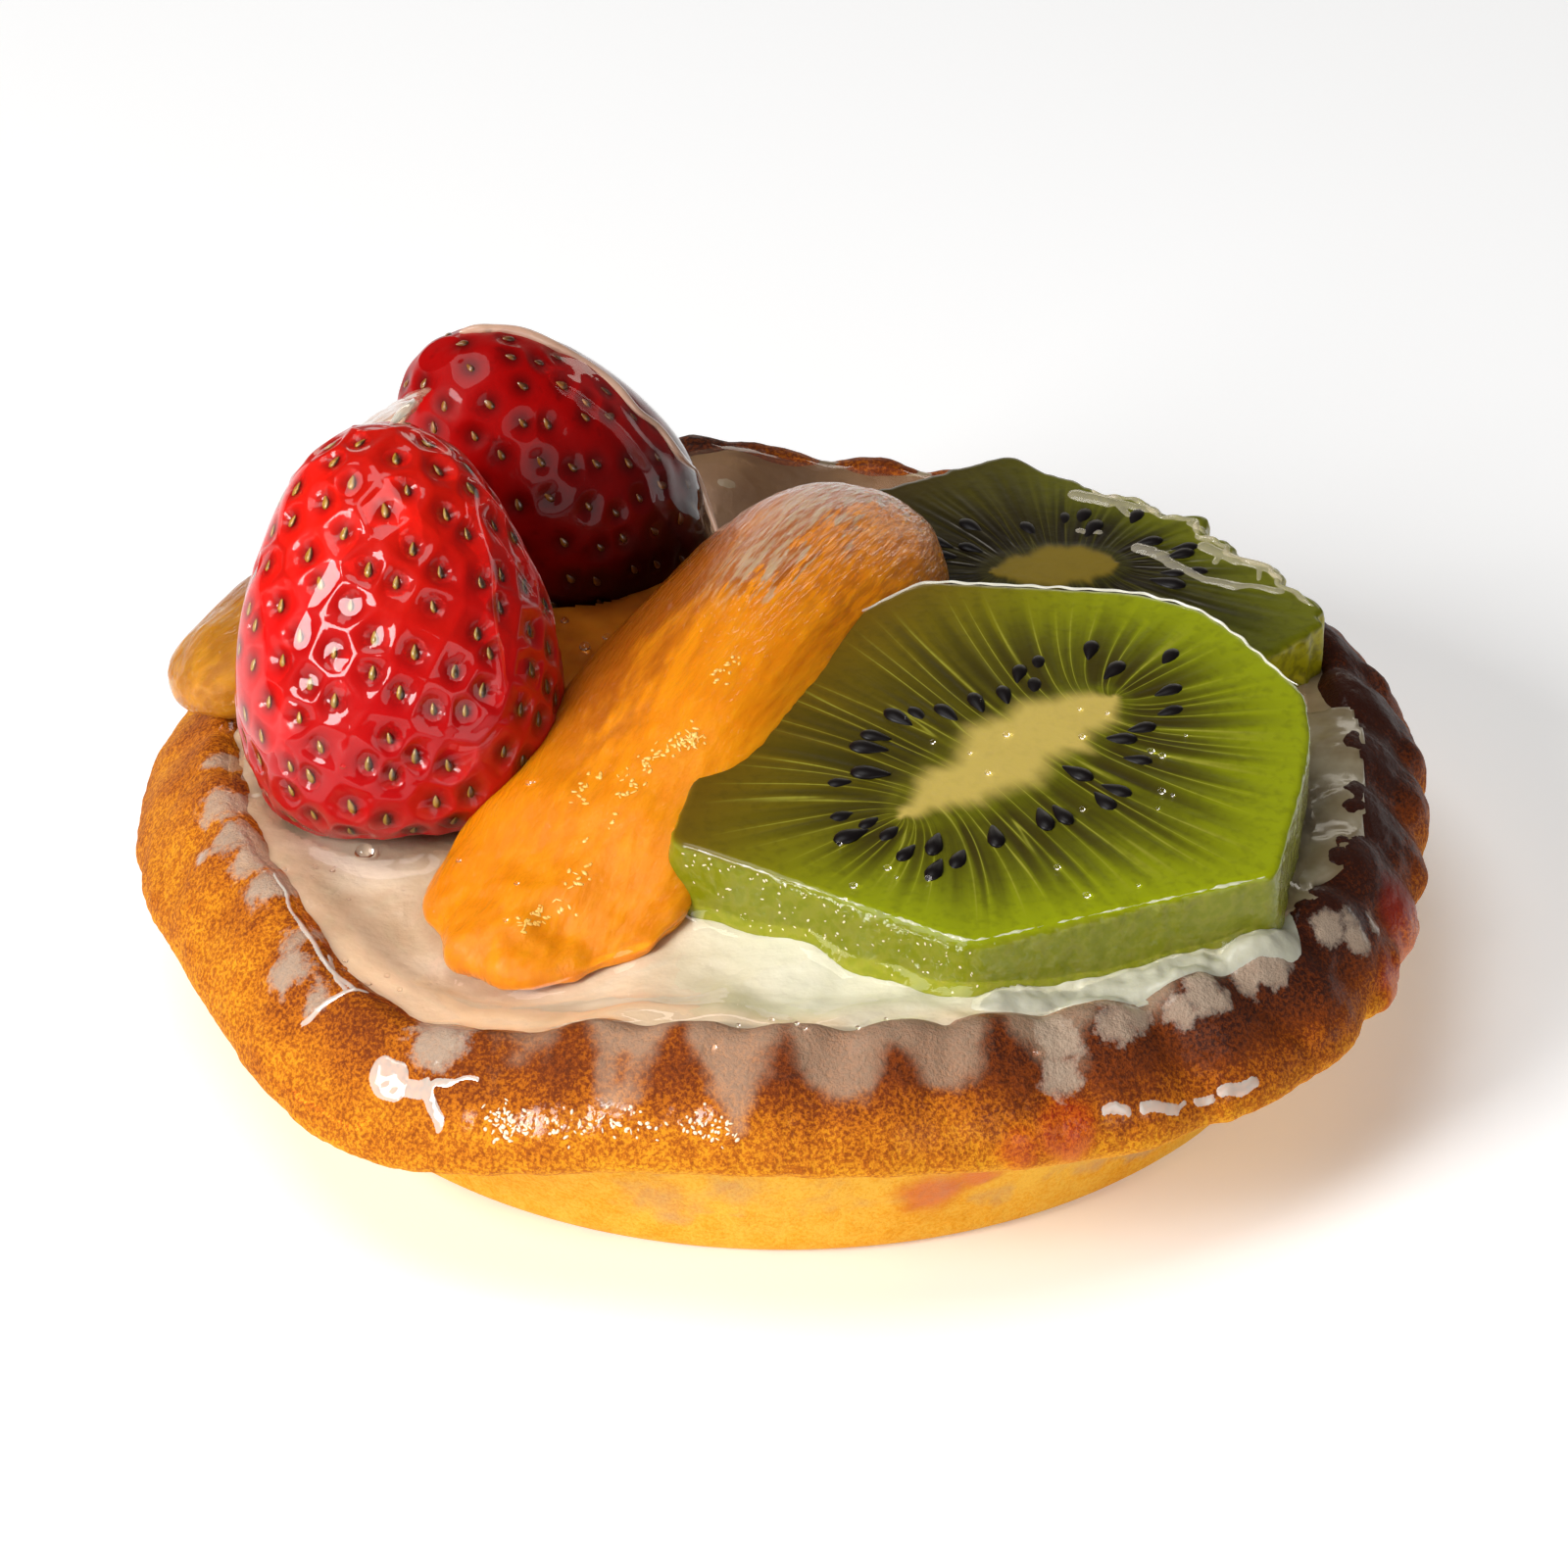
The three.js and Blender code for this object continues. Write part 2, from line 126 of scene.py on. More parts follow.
def places(piece):
    """The piece's vertices, in millimetres."""
    at = np.empty(len(piece.data.vertices) * 3)
    piece.data.vertices.foreach_get("co", at)
    return at.reshape(-1, 3) / MM


def normals(piece):
    normal = np.empty(len(piece.data.vertices) * 3)
    piece.data.vertices.foreach_get("normal", normal)
    return normal.reshape(-1, 3)


def move_to(piece, at):
    piece.data.vertices.foreach_set("co", np.ascontiguousarray(at * MM).ravel())
    piece.data.update()


def push(piece, depth):
    """Moves each vertex out along its normal by its depth."""
    move_to(piece, places(piece) + normals(piece) * depth[:, None])


def flat_grid(name, columns, rows, size):
    bpy.ops.object.select_all(action="DESELECT")
    bpy.ops.mesh.primitive_grid_add(x_subdivisions=columns, y_subdivisions=rows, size=size)
    piece = bpy.context.object
    piece.name = piece.data.name = name
    return piece


def wrapped_sheet(name, around, along, point_at):
    """A grid primitive bent into a closed body. point_at takes arrays of angle and share and gives points."""
    piece = flat_grid(name, around, along, 2)
    flat = places(piece) * MM / 2 + 0.5
    move_to(piece, point_at(flat[:, 0] * TURN, flat[:, 1]))
    bpy.ops.object.mode_set(mode="EDIT")
    bpy.ops.mesh.select_all(action="SELECT")
    bpy.ops.mesh.remove_doubles(threshold=0.002 * MM)
    bpy.ops.mesh.normals_make_consistent(inside=False)
    bpy.ops.object.mode_set(mode="OBJECT")
    bpy.ops.object.shade_smooth()
    return piece


def paint(piece, name, *masks):
    """Keeps up to three masks as a colour attribute that the material reads."""
    layer = piece.data.color_attributes.new(name, "FLOAT_COLOR", "POINT")
    colour = np.ones((len(piece.data.vertices), 4))
    for channel, mask in enumerate(masks):
        colour[:, channel] = mask
    layer.data.foreach_set("color", colour.ravel())


def case_profile(share):
    """The case's section, as radius and height: along the foot, up the side, round the rim, down inside."""
    rim = [
        (RIM - 2.6, EDGE_HEIGHT - 0.9),
        (RIM, EDGE_HEIGHT + 0.6),
        (RIM - 1.1, EDGE_HEIGHT + 4.1),
        (CREST, CREST_HEIGHT),
        (CREAM_EDGE, CREAM_HEIGHT + 0.5),
        (CREAM_EDGE - 1.7, CREAM_HEIGHT - 2.6),
    ]
    curve = spline(rim, np.linspace(0, 1, 40))
    side = (FOOT + 0.4 * (RIM - FOOT), EDGE_HEIGHT * 0.8)
    section = [(0, 0), (FOOT - 0.9, 0), (FOOT, 0.8), side, *curve, (FOOT - WALL, FLOOR), (0, FLOOR)]
    marks = [0, 0.04, 0.06, 0.2, *np.linspace(0.27, 0.92, 40), 0.96, 1]
    radius, height = np.array(section).T
    return np.interp(share, marks, radius), np.interp(share, marks, height)


def rim_swell(angle, way):
    """How far the rim stands out (way 2) or up (way 3) of its even shape."""
    return sum(swell[way] * near(angle, swell[0], swell[1]) for swell in RIM_SWELLS)


def groove(angle):
    """0 on a crimp's back, 1 in the groove beside it. The crimps are unevenly spaced."""
    uneven = 0.45 * np.sin(2 * angle + 0.6) + 0.3 * np.sin(5 * angle + 2.1)
    return 0.5 - 0.5 * np.cos(CRIMPS * angle + uneven)


def crimp_strength(angle):
    """The crimps are pinched hard at the right and behind, softly in front and hardly at all at the left."""
    return 0.3 + 0.5 * near(angle, 20, 120) + 0.4 * near(angle, -46, 30) + 0.15 * near(angle, -86, 50)


def case_surface(angle, share):
    radius, height = case_profile(share)
    on_rim = ramp(height, 5, EDGE_HEIGHT + 1) * ramp(radius, CREST - 12, CREAM_EDGE)
    on_top = ramp(height, EDGE_HEIGHT + 1, CREST_HEIGHT - 2) * ramp(radius, CREAM_EDGE - 3, CREAM_EDGE)
    on_edge = ramp(radius, RIM - 4, RIM) * ramp(height, EDGE_HEIGHT - 2, EDGE_HEIGHT)
    pressed = groove(angle + 0.012 * np.sin(3 * angle) * (radius - CREST)) ** 1.8 * crimp_strength(angle)
    out = (
        on_rim * (rim_swell(angle, 2) + 0.35 * ripple(angle, height, 2))
        - on_edge * EDGE_WAVE * pressed * near(angle, 10, 150)
        + (1 - on_rim) * 0.25 * ripple(angle, 3, 5) * ramp(height, 0, 3)
    )
    up = on_rim * (rim_swell(angle, 3) + 0.25 * ripple(angle, 0, 4)) - on_top * CRIMP_DEPTH * pressed
    radius = radius + out * ramp(radius, 0, 5)
    return np.stack([radius * np.cos(angle), radius * np.sin(angle), height + up], axis=1)


pastry = wrapped_sheet("tart_case", 800, 112, case_surface)

# Crumbly skin: soft dents, crags along the dark side and a sandy grain, none of it on the flat underside.
at = places(pastry)
angle, radius = np.arctan2(at[:, 1], at[:, 0]), np.hypot(at[:, 0], at[:, 1])
height = at[:, 2]
skin = ramp(height, 0.2, 2.5)
scorched = near(angle, 0, 95) ** 0.7
crag = np.maximum(cloud(at, 2.2, 3), 0) * ramp(radius, RIM - 5, RIM) * scorched
grain = cloud(at, 0.9, 4) * 0.06 + cloud(at, 0.55, 5) * 0.045
push(pastry, skin * (0.28 * cloud(at, 7, 1) + 0.14 * cloud(at, 2.6, 2) + 0.55 * crag + grain))

# How far each place is baked, where jelly has coloured it, where glaze dried milky and where it is wet.
pressed = groove(angle)
edge_noise = 0.5 * cloud(at, 3.5, 6) + 0.3 * cloud(at, 1.3, 7) + 0.2 * cloud(at, 0.7, 8)
drift = cloud(at, 7, 14)
upper = height - rim_swell(angle, 3)
baked = (
    0.06
    + 0.32 * ramp(upper, 9.5, 13.5)
    + 0.22 * ramp(upper, 14.0, 19.0)
    + 0.50 * scorched * ramp(upper, 11.5, 17)
    + 0.09 * near(angle, -86, 75) * ramp(upper + 0.8 * edge_noise, 14.5, 18.5)
    + 0.03 * near(angle, 195, 70)
    - 0.14 * near(angle, 184, 74) * ramp(upper, 13.5, 18)
    + 0.4 * near(angle, 98, 9) * ramp(upper, 14, 18)
    - 0.06 * pressed * ramp(upper, 13, 17)
    + 0.04 * edge_noise
    + 0.05 * drift
)
front = near(angle, -86, 62)
inner = 1 - ramp(radius, CREST - 1.0, CREST + 3.2)
streaked = ramp(upper + 1.9 * cloud(at, 3.4, 9) + 0.8 * cloud(at, 1.2, 18), 14.0, 19.0)
spilt = 0.15 + 0.15 * near(angle, 190, 55) + 0.45 * near(angle, -40, 34) + 0.4 * near(angle, -90, 62)
milk = (
    front * (0.2 + 0.8 * pressed**0.6) * streaked
    + 1.1 * inner * ramp(radius + 1.4 * edge_noise, CREAM_EDGE - 1.2, CREAM_EDGE + 0.6) * spilt
    + 0.30 * edge_noise
)
milk = ramp(milk, 0.22, 1.12)
wet = np.clip(ramp(near(angle, -20, 105) + 0.35 * edge_noise, 0.1, 0.4) + near(angle, 90, 60), 0, 1)
wet *= 0.35 * ramp(upper + 1.2 * edge_noise, 11.5, 14.5)
# A sugary band low on the front of the rim, and a glossy streak at its right.
band = np.exp(-(((upper - 15.4 + 0.5 * cloud(at, 2.5, 15)) / 1.0) ** 2)) * near(angle, -104, 26)
band += np.exp(-(((upper - 14.0 + 0.4 * cloud(at, 2.5, 16)) / 0.6) ** 2)) * near(angle, -55, 15)
wet = np.maximum(wet, band * ramp(cloud(at, 1.4, 17), -0.5, 0.3))

# Red jelly that has run down the outside: the angle, radius, height and size of each patch.
RED_JELLY = [
    (-19, 47.5, 13.5, 4.0), (-26, 48.0, 12.0, 3.0), (-75, 41.5, 6.3, 3.2), (-71, 42.5, 7.2, 2.6),
    (-66, 47.2, 14.0, 2.9), (-70, 46.9, 13.6, 2.2),
]
jelly = np.zeros(len(at))
for turn, out, lift, size in RED_JELLY:
    spot = np.array([out * math.cos(math.radians(turn)), out * math.sin(math.radians(turn)), lift])
    away = np.linalg.norm(at - spot, axis=1) / size + 0.35 * edge_noise
    jelly = np.maximum(jelly, 1 - ramp(away, 0.45, 1.05))

# Jelly that crossed from the cream onto the crust and dried white: each place and how far it spreads.
SMEARS = [
    (-41.2, -2.6, 18.8, 1.6), (-40.3, -8.9, 19.1, 2.1), (-39.4, -13.5, 19.3, 2.1), (-37.8, -16.3, 19.0, 2.1),
    (-36.5, -19.8, 19.3, 1.9), (-41.9, -13.3, 17.8, 0.95), (-34.7, -28.4, 17.5, 1.9),
    (-34.2, -26.0, 17.8, 1.8), (-32.5, -31.0, 16.6, 1.5), (-23.6, -37.4, 18.0, 2.6), (18.8, -38.5, 18.7, 2.0),
    (19.0, -41.0, 17.0, 1.7), (22.6, -36.9, 18.7, 1.9), (24.4, -36.0, 18.5, 1.5), (29.2, -33.1, 18.5, 1.9),
    (27.6, -34.4, 18.2, 1.4), (33.9, -28.7, 18.5, 2.0), (32.5, -30.2, 18.1, 1.4), (40.6, -22.4, 16.6, 1.3),
    (41.9, -19.5, 16.0, 1.1), (38.5, -23.3, 17.9, 1.6), (39.6, -21.4, 17.4, 1.3),
]
smear = np.zeros(len(at))
for *spot, size in SMEARS:
    away = np.linalg.norm(at - np.array(spot), axis=1) / (1.45 * size) + 0.2 * edge_noise
    smear = np.maximum(smear, 1 - ramp(away, 0.1, 1.1))
push(pastry, 0.05 * ramp(smear, 0.3, 0.7))
push(pastry, 0.25 * jelly)
wet = np.maximum(wet, np.maximum(0.5 * jelly, 0.7 * ramp(smear, 0.35, 0.6)))
paint(pastry, "bake", baked, jelly)
paint(pastry, "glaze", milk, wet, smear)


def node(tree, kind, sockets=None, **settings):
    """Adds a shader node. Each socket named is given a value, or linked to another node's output."""
    made = tree.nodes.new(kind)
    for key, value in settings.items():
        setattr(made, key, value)
    for key, value in (sockets or {}).items():
        if isinstance(value, bpy.types.NodeSocket):
            tree.links.new(value, made.inputs[key])
        else:
            made.inputs[key].default_value = value
    return made


def noise(tree, scale, detail=2, vector=None, rough=0.5):
    """Noise in object coordinates, or along the given vector."""
    if vector is None:
        vector = node(tree, "ShaderNodeTexCoord").outputs["Object"]
    sockets = {"Vector": vector, "Scale": scale, "Detail": detail, "Roughness": rough}
    return node(tree, "ShaderNodeTexNoise", sockets).outputs["Fac"]


def between(tree, value, low, high, start=0.0, end=1.0):
    """Carries a value from one range into another, smoothly, and holds it there."""
    sockets = {"Value": value, "From Min": low, "From Max": high, "To Min": start, "To Max": end}
    return node(tree, "ShaderNodeMapRange", sockets, interpolation_type="SMOOTHSTEP").outputs[0]


def times(tree, a, b, operation="MULTIPLY"):
    return node(tree, "ShaderNodeMath", {0: a, 1: b}, operation=operation).outputs[0]


def tint(tree, share, first, second):
    """Mixes two colours, each a colour or a socket, by a share."""
    return node(tree, "ShaderNodeMix", {0: share, 6: first, 7: second}, data_type="RGBA").outputs[2]


def colours(tree, value, *stops):
    """A colour for each value, by stops of (place, colour)."""
    made = node(tree, "ShaderNodeValToRGB", {0: value})
    steps = made.color_ramp.elements
    while len(steps) < len(stops):
        steps.new(1)
    for step, (place, colour) in zip(steps, stops):
        step.position = place
        step.color = (*colour, 1)
    return made.outputs[0]


def bump(tree, height, distance, strength=1.0, normal=None):
    sockets = {"Height": height, "Distance": distance * MM, "Strength": strength}
    if normal is not None:
        sockets["Normal"] = normal
    return node(tree, "ShaderNodeBump", sockets).outputs[0]


def finish(name, **sockets):
    """A new material with its Principled shader. Sockets are named with _ for a space."""
    material = bpy.data.materials.new(name)
    material.use_nodes = True
    shader = material.node_tree.nodes["Principled BSDF"]
    for key, value in sockets.items():
        shader.inputs[key.replace("_", " ")].default_value = value
    return material, material.node_tree, shader


def soften(shader, weight, red, green, blue):
    """Lets light into the material, by how many millimetres each colour of it goes."""
    shader.inputs["Subsurface Weight"].default_value = weight
    shader.inputs["Subsurface Radius"].default_value = (red * MM, green * MM, blue * MM)
    shader.inputs["Subsurface Scale"].default_value = 1


def connect(tree, shader, **sockets):
    for key, value in sockets.items():
        tree.links.new(value, shader.inputs[key.replace("_", " ")])


def masks(tree, name):
    """The channels of a painted attribute."""
    colour = node(tree, "ShaderNodeAttribute", attribute_name=name).outputs["Color"]
    return node(tree, "ShaderNodeSeparateColor", {0: colour}).outputs


def dress(piece, material, cad_node):
    """Gives a finished piece its material, its body and its slot, and hides the solid that it replaces."""
    piece.data.materials.clear()
    piece.data.materials.append(material)
    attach(piece, "root")
    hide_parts(cad_node)


crust, tree, shader = finish("shortcrust", Coat_Roughness=0.09, Coat_IOR=1.38, Specular_IOR_Level=0.15)
bake, glaze = masks(tree, "bake"), masks(tree, "glaze")
speck = noise(tree, 3300, 3, rough=0.7)
mottle = noise(tree, 420, 4, rough=0.6)
contrast = between(tree, bake[0], 0.05, 0.3, 0.45, 1.1)
fleck = times(tree, between(tree, speck, 0.38, 0.64, -0.11, 0.13), contrast)
# The bake's tone with its specks and mottle: the crust's own colour.
bake_tone = times(tree, bake[0], fleck, "ADD")
bake_tone = times(tree, bake_tone, between(tree, mottle, 0.3, 0.7, -0.045, 0.05), "ADD")
pastry_colour = colours(
    tree, bake_tone,
    (0.0, (0.93, 0.53, 0.06)),
    (0.16, (0.86, 0.37, 0.012)),
    (0.40, (0.56, 0.15, 0.004)),
    (0.62, (0.23, 0.042, 0.002)),
    (1.0, (0.040, 0.007, 0.002)),
)
red_jelly = tint(tree, between(tree, bake_tone, 0.3, 0.75), (0.72, 0.14, 0.002, 1), (0.28, 0.008, 0.001, 1))
red_jelly = tint(tree, between(tree, mottle, 0.4, 0.7, 0, 0.5), red_jelly, (0.48, 0.04, 0.001, 1))
pastry_colour = tint(tree, times(tree, bake[1], 0.85), pastry_colour, red_jelly)
ragged = between(tree, times(tree, glaze[0], between(tree, mottle, 0.3, 0.7, -0.12, 0.12), "ADD"), 0.15, 0.9)
pastry_colour = tint(tree, times(tree, ragged, 0.56), pastry_colour, (0.50, 0.35, 0.23, 1))
flaky = times(tree, glaze[2], between(tree, noise(tree, 560, 5, rough=0.7), 0.25, 0.75, -0.34, 0.34), "ADD")
crusted = tint(tree, between(tree, flaky, 0.40, 0.62), (0.72, 0.62, 0.50, 1), (0.48, 0.35, 0.25, 1))
crusted = tint(tree, between(tree, mottle, 0.4, 0.6, 0, 0.5), crusted, (0.54, 0.42, 0.31, 1))
pastry_colour = tint(tree, between(tree, flaky, 0.28, 0.75, 0, 0.8), pastry_colour, crusted)
connect(
    tree, shader,
    Base_Color=pastry_colour,
    Roughness=between(tree, glaze[1], 0, 1, 0.72, 0.4),
    Coat_Weight=between(tree, glaze[1], 0.2, 0.8, 0.0, 1.0),
    Normal=bump(tree, mottle, 0.35, 0.8, bump(tree, speck, 0.2, 1.0)),
    Coat_Normal=bump(tree, noise(tree, 1100, 2), 0.14, 1.0, bump(tree, noise(tree, 300, 2), 0.3, 0.7)),
)
dress(pastry, crust, "pastry_case")


# ---- Pastry cream --------------------------------------------------------------------------------------
# Spooned into the baked case: white and lumpy where it swells from under the kiwi, and flat and tinted
# pinkish beige at the left, where clear jelly has settled over it.
def cream_top(x, y):
    mound = np.exp(-((x - 15) ** 2) / 420 - (y + 18) ** 2 / 260)
    lumps = 0.22 * np.sin(0.31 * x + 0.5) * np.cos(0.27 * y) + 0.12 * np.sin(0.7 * x - 0.45 * y)
    out = np.hypot(x, y)
    edge = rim_swell(np.arctan2(y, x), 3) * ramp(out, 30, 38) + 1.3 * ramp(out, 34, 40.5)
    return CREAM_HEIGHT - 0.5 + lumps + edge + 5.4 * mound * ramp(41 - out, 0, 12)


def cream_surface(angle, share):
    outline = CREAM_EDGE + 1.9 + rim_swell(angle, 2) + 0.35 * ripple(angle, 0, 2)
    radius = np.interp(share, [0, 0.05, 0.1], [0, FOOT - WALL, CREAM_EDGE])
    top = share > 0.1
    radius = np.where(top, outline * np.sqrt(np.clip((1 - share) / 0.9, 0, 1)), radius)
    x, y = radius * np.cos(angle), radius * np.sin(angle)
    low = np.interp(share, [0, 0.05, 0.1], [FLOOR, FLOOR, CREAM_HEIGHT - 4])
    return np.stack([x, y, np.where(top, cream_top(x, y), low)], axis=1)


cream = wrapped_sheet("cream_bed", 420, 150, cream_surface)
at = places(cream)
x, y = at[:, 0], at[:, 1]
exposed = ramp(at[:, 2], CREAM_HEIGHT - 1.2, CREAM_HEIGHT - 0.6)
fresh = ramp(x + 0.25 * y, -22, -6) * (1 - ramp(x, 30, 36)) * (1 - ramp(y, -4, 12))
stained = ramp(np.maximum((x - 31) / 14, (y - 8) / 14), 0, 1)
push(cream, exposed * ((0.12 + 0.22 * fresh) * cloud(at, 3.0, 11) + 0.10 * fresh * cloud(at, 1.1, 12)))
rim_side = ramp(np.hypot(x, y), CREAM_EDGE - 3.5, CREAM_EDGE + 0.6)
paint(cream, "spread", fresh, rim_side, stained)

custard, tree, shader = finish("pastry_cream", Roughness=0.45, Coat_Roughness=0.05, Coat_IOR=1.4)
spread = masks(tree, "spread")
curd = noise(tree, 700, 3)
blotch = noise(tree, 140, 3)
jellied = tint(tree, between(tree, blotch, 0.3, 0.7), (0.43, 0.31, 0.19, 1), (0.58, 0.47, 0.34, 1))
cream_colour = tint(tree, spread[0], jellied, (0.53, 0.51, 0.39, 1))
edge_stain = times(tree, spread[1], between(tree, blotch, 0.3, 0.7, 0.1, 0.6))
cream_colour = tint(tree, edge_stain, cream_colour, (0.66, 0.44, 0.25, 1))
soaked = tint(tree, between(tree, blotch, 0.35, 0.65), (0.18, 0.11, 0.045, 1), (0.34, 0.25, 0.14, 1))
cream_colour = tint(tree, times(tree, spread[2], 0.95), cream_colour, soaked)
connect(
    tree, shader,
    Base_Color=cream_colour,
    Coat_Weight=between(tree, spread[0], 0.3, 0.8, 1.0, 0.45),
    Normal=bump(tree, curd, 0.22, 0.7),
)
soften(shader, 0.25, 1.2, 0.9, 0.5)
dress(cream, custard, "pastry_cream")


# ---- Strawberries --------------------------------------------------------------------------------------
# Two whole hulled strawberries standing point up in the cream. Every seed lies in its own dimple, and the
# flesh between the dimples is swollen and shiny with jelly. The rear one is painted darker, as shade.
BERRY_OUTLINE = [(0, 0.62), (0.08, 0.86), (0.3, 1), (0.54, 0.93), (0.76, 0.73), (0.92, 0.48), (1, 0.18)]
FRONT_BERRY = {"hull": (-27.4, -7.6, 17.6), "tip": (-29.2, 3.0, 44.6), "radius": 11.9, "flat": 0.94,
               "seed": 1, "spacing": 3.3, "pit": 0.44, "pip": 0.84, "net": 0.11}
REAR_BERRY = {"hull": (-12.4, 24.6, 18.8), "tip": (-25.6, 19.0, 42.2), "radius": 10.2, "flat": 0.95,
              "seed": 6, "spacing": 3.0, "pit": 0.16, "pip": 0.74, "net": 0.03}


def berry_turn(berry):
    """The fruit's length and the matrix that leans its own Z along hull to tip."""
    axis = Vector(berry["tip"]) - Vector(berry["hull"])
    return axis.length, np.array(Vector((0, 0, 1)).rotation_difference(axis.normalized()).to_matrix())


def berry_surface(berry, angle, step):
    """Points on the smooth fruit, step 0 at the cut hull and 1 at the tip's small end."""
    length, turn = berry_turn(berry)
    across, width = spline(BERRY_OUTLINE, step).T
    lobes = 1 + 0.025 * ripple(angle, step * 20, berry["seed"])
    radius = berry["radius"] * width * lobes
    own = np.stack([radius * np.cos(angle), radius * berry["flat"] * np.sin(angle), across * length], axis=1)
    return own @ turn.T + np.array(berry["hull"])


def berry_skin(berry, angle, share):
    """The whole smooth fruit for a wrapped sheet: share 0 closes the hull and share 1 the tip."""
    step = (share - 0.04) / 0.92
    point = berry_surface(berry, angle, np.clip(step, 0, 1))
    length, turn = berry_turn(berry)
    for end, closing in ((0, np.clip(-step / 0.04, 0, 1)), (1, np.clip((step - 1) / 0.04, 0, 1))):
        middle = np.array(berry["hull"]) + turn @ np.array([0, 0, length + 0.12 if end else 0.0])
        eased = np.sin(closing * math.pi / 2)[:, None] if end else closing[:, None]
        drawn_in = 1 - np.sqrt(np.clip(1 - eased**2, 0, 1))
        point += (middle - point) * np.where(closing[:, None] > 0, drawn_in, 0)
    return point


def berry_seed_places(berry):
    """Seeds spiral round the fruit, evenly by area. Gives their angles and steps."""
    length, _ = berry_turn(berry)
    step = np.linspace(0.02, 1, 400)
    across, width = spline(BERRY_OUTLINE, step).T
    slant = np.hypot(np.gradient(across * length), np.gradient(width * berry["radius"]))
    area = np.cumsum(TURN * berry["radius"] * width * slant)
    count = int(area[-1] / (berry["spacing"] ** 2 * 0.87))
    k = np.arange(count)
    chance = np.random.default_rng(berry["seed"])
    placed = np.interp((k + 0.5) / count * area[-1], area, step)
    return k * TURN * 0.381966 + chance.normal(0, 0.05, count), placed + chance.normal(0, 0.011, count)


def pick(piece):
    bpy.ops.object.select_all(action="DESELECT")
    bpy.context.view_layer.objects.active = piece
    piece.select_set(True)


def repeated(name, model, copies):
    """One mesh of a model's copies. Each copy is a centre, a 3 x 3 turn and a scale for the model's axes."""
    at = places(model)
    faces = np.array([vertex for face in model.data.polygons for vertex in face.vertices])
    sides = [len(face.vertices) for face in model.data.polygons]
    points = [at * scale @ np.array(turn).T + centre for centre, turn, scale in copies]
    mesh = bpy.data.meshes.new(name)
    corners = np.concatenate([faces + k * len(at) for k in range(len(copies))]).tolist()
    every, start = [], 0
    for count in sides * len(copies):
        every.append(corners[start : start + count])
        start += count
    mesh.from_pydata((np.concatenate(points) * MM).tolist(), [], every)
    piece = bpy.data.objects.new(name, mesh)
    bpy.context.scene.collection.objects.link(piece)
    pick(piece)
    bpy.ops.object.shade_smooth()
    bpy.data.objects.remove(model)
    return piece


def bead(segments, rings, taper=0.0):
    """A small round body of 1 mm across, drawn in towards its +X end by the taper."""
    bpy.ops.object.select_all(action="DESELECT")
    bpy.ops.mesh.primitive_uv_sphere_add(segments=segments, ring_count=rings, radius=0.5 * MM)
    model = bpy.context.object
    at = places(model)
    at[:, 1:] *= (1 - taper * ramp(at[:, 0], -0.3, 0.5))[:, None]
    move_to(model, at)
    return model


def standing_on(normal, along):
    """A turn whose Z is the normal and whose X follows the given direction as far as it can."""
    z = normal / np.linalg.norm(normal)
    x = along - z * np.dot(along, z)
    x /= np.linalg.norm(x)
    return np.stack([x, np.cross(z, x), z], axis=1)


def make_berry(berry, name, flesh, seed_finish, cad_node):
    fruit = wrapped_sheet(name, 340, 260, lambda angle, share: berry_skin(berry, angle, share))
    turns, steps = berry_seed_places(berry)
    spots = berry_surface(berry, turns, steps)
    tree = KDTree(len(spots))
    for k, spot in enumerate(spots):
        tree.insert(spot, k)
    tree.balance()
    at = places(fruit)
    found = [tree.find_n(point, 2) for point in at]
    first = np.array([pair[0][2] for pair in found])
    second = np.array([pair[1][2] for pair in found])
    which = np.array([pair[0][1] for pair in found])
    depth = np.random.default_rng(berry["seed"] + 50).uniform(0.75, 1.2, len(spots))[which]
    pit = np.exp(-((first / 0.92) ** 2.2))
    ring = np.exp(-(((first - 1.2) / 0.5) ** 2))
    ridge = 1 - ramp(second - first, 0, 1.3)
    rest = 0.10 * cloud(at, 5, berry["seed"]) + 0.05 * cloud(at, 1.6, berry["seed"] + 1)
    push(fruit, depth * (0.03 * ring - berry["pit"] * pit) + berry["net"] * ridge * (1 - pit) + rest)
    length, turn = berry_turn(berry)
    axis = turn[:, 2]
    # The dimples are kept for the painted shade in them, and the height up the fruit for the painted shade
    # towards its hull.
    paint(fruit, "skin", pit, (at - np.array(berry["hull"])) @ axis / length)
    dress(fruit, flesh, cad_node)

    # The seeds, each lying in its dimple with its point towards the tip.
    body = BVHTree.FromPolygons(at.tolist(), [face.vertices for face in fruit.data.polygons])
    chance = np.random.default_rng(berry["seed"] + 9)
    copies = []
    for spot in spots:
        normal = np.array(body.find_nearest(spot)[1])
        along = axis + 0.12 * chance.normal(size=3)
        scale = np.array([1.32, 0.80, 0.5]) * berry["pip"] * chance.uniform(0.82, 1.12)
        copies.append((spot - normal * (0.62 * berry["pit"] + 0.02), standing_on(normal, along), scale))
    dress(repeated(name + "_seeds", bead(10, 8, 0.5), copies), seed_finish, cad_node)
    return fruit


def wet_film():
    """A node group for the jelly on the fruit: the slow ripple of its surface, as a normal."""
    group = bpy.data.node_groups.new("wet_film", "ShaderNodeTree")
    group.interface.new_socket("Ripple", in_out="INPUT", socket_type="NodeSocketFloat")
    group.interface.new_socket("Normal", in_out="OUTPUT", socket_type="NodeSocketVector")
    given = group.nodes.new("NodeGroupInput")
    result = group.nodes.new("NodeGroupOutput")
    slow, quick = noise(group, 210, 2), noise(group, 620, 1)
    height = times(group, slow, times(group, quick, 0.35), "ADD")
    surface = bump(group, height, 0.45)
    group.links.new(given.outputs[0], surface.node.inputs["Strength"])
    group.links.new(surface, result.inputs[0])
    return group


FILM = wet_film()


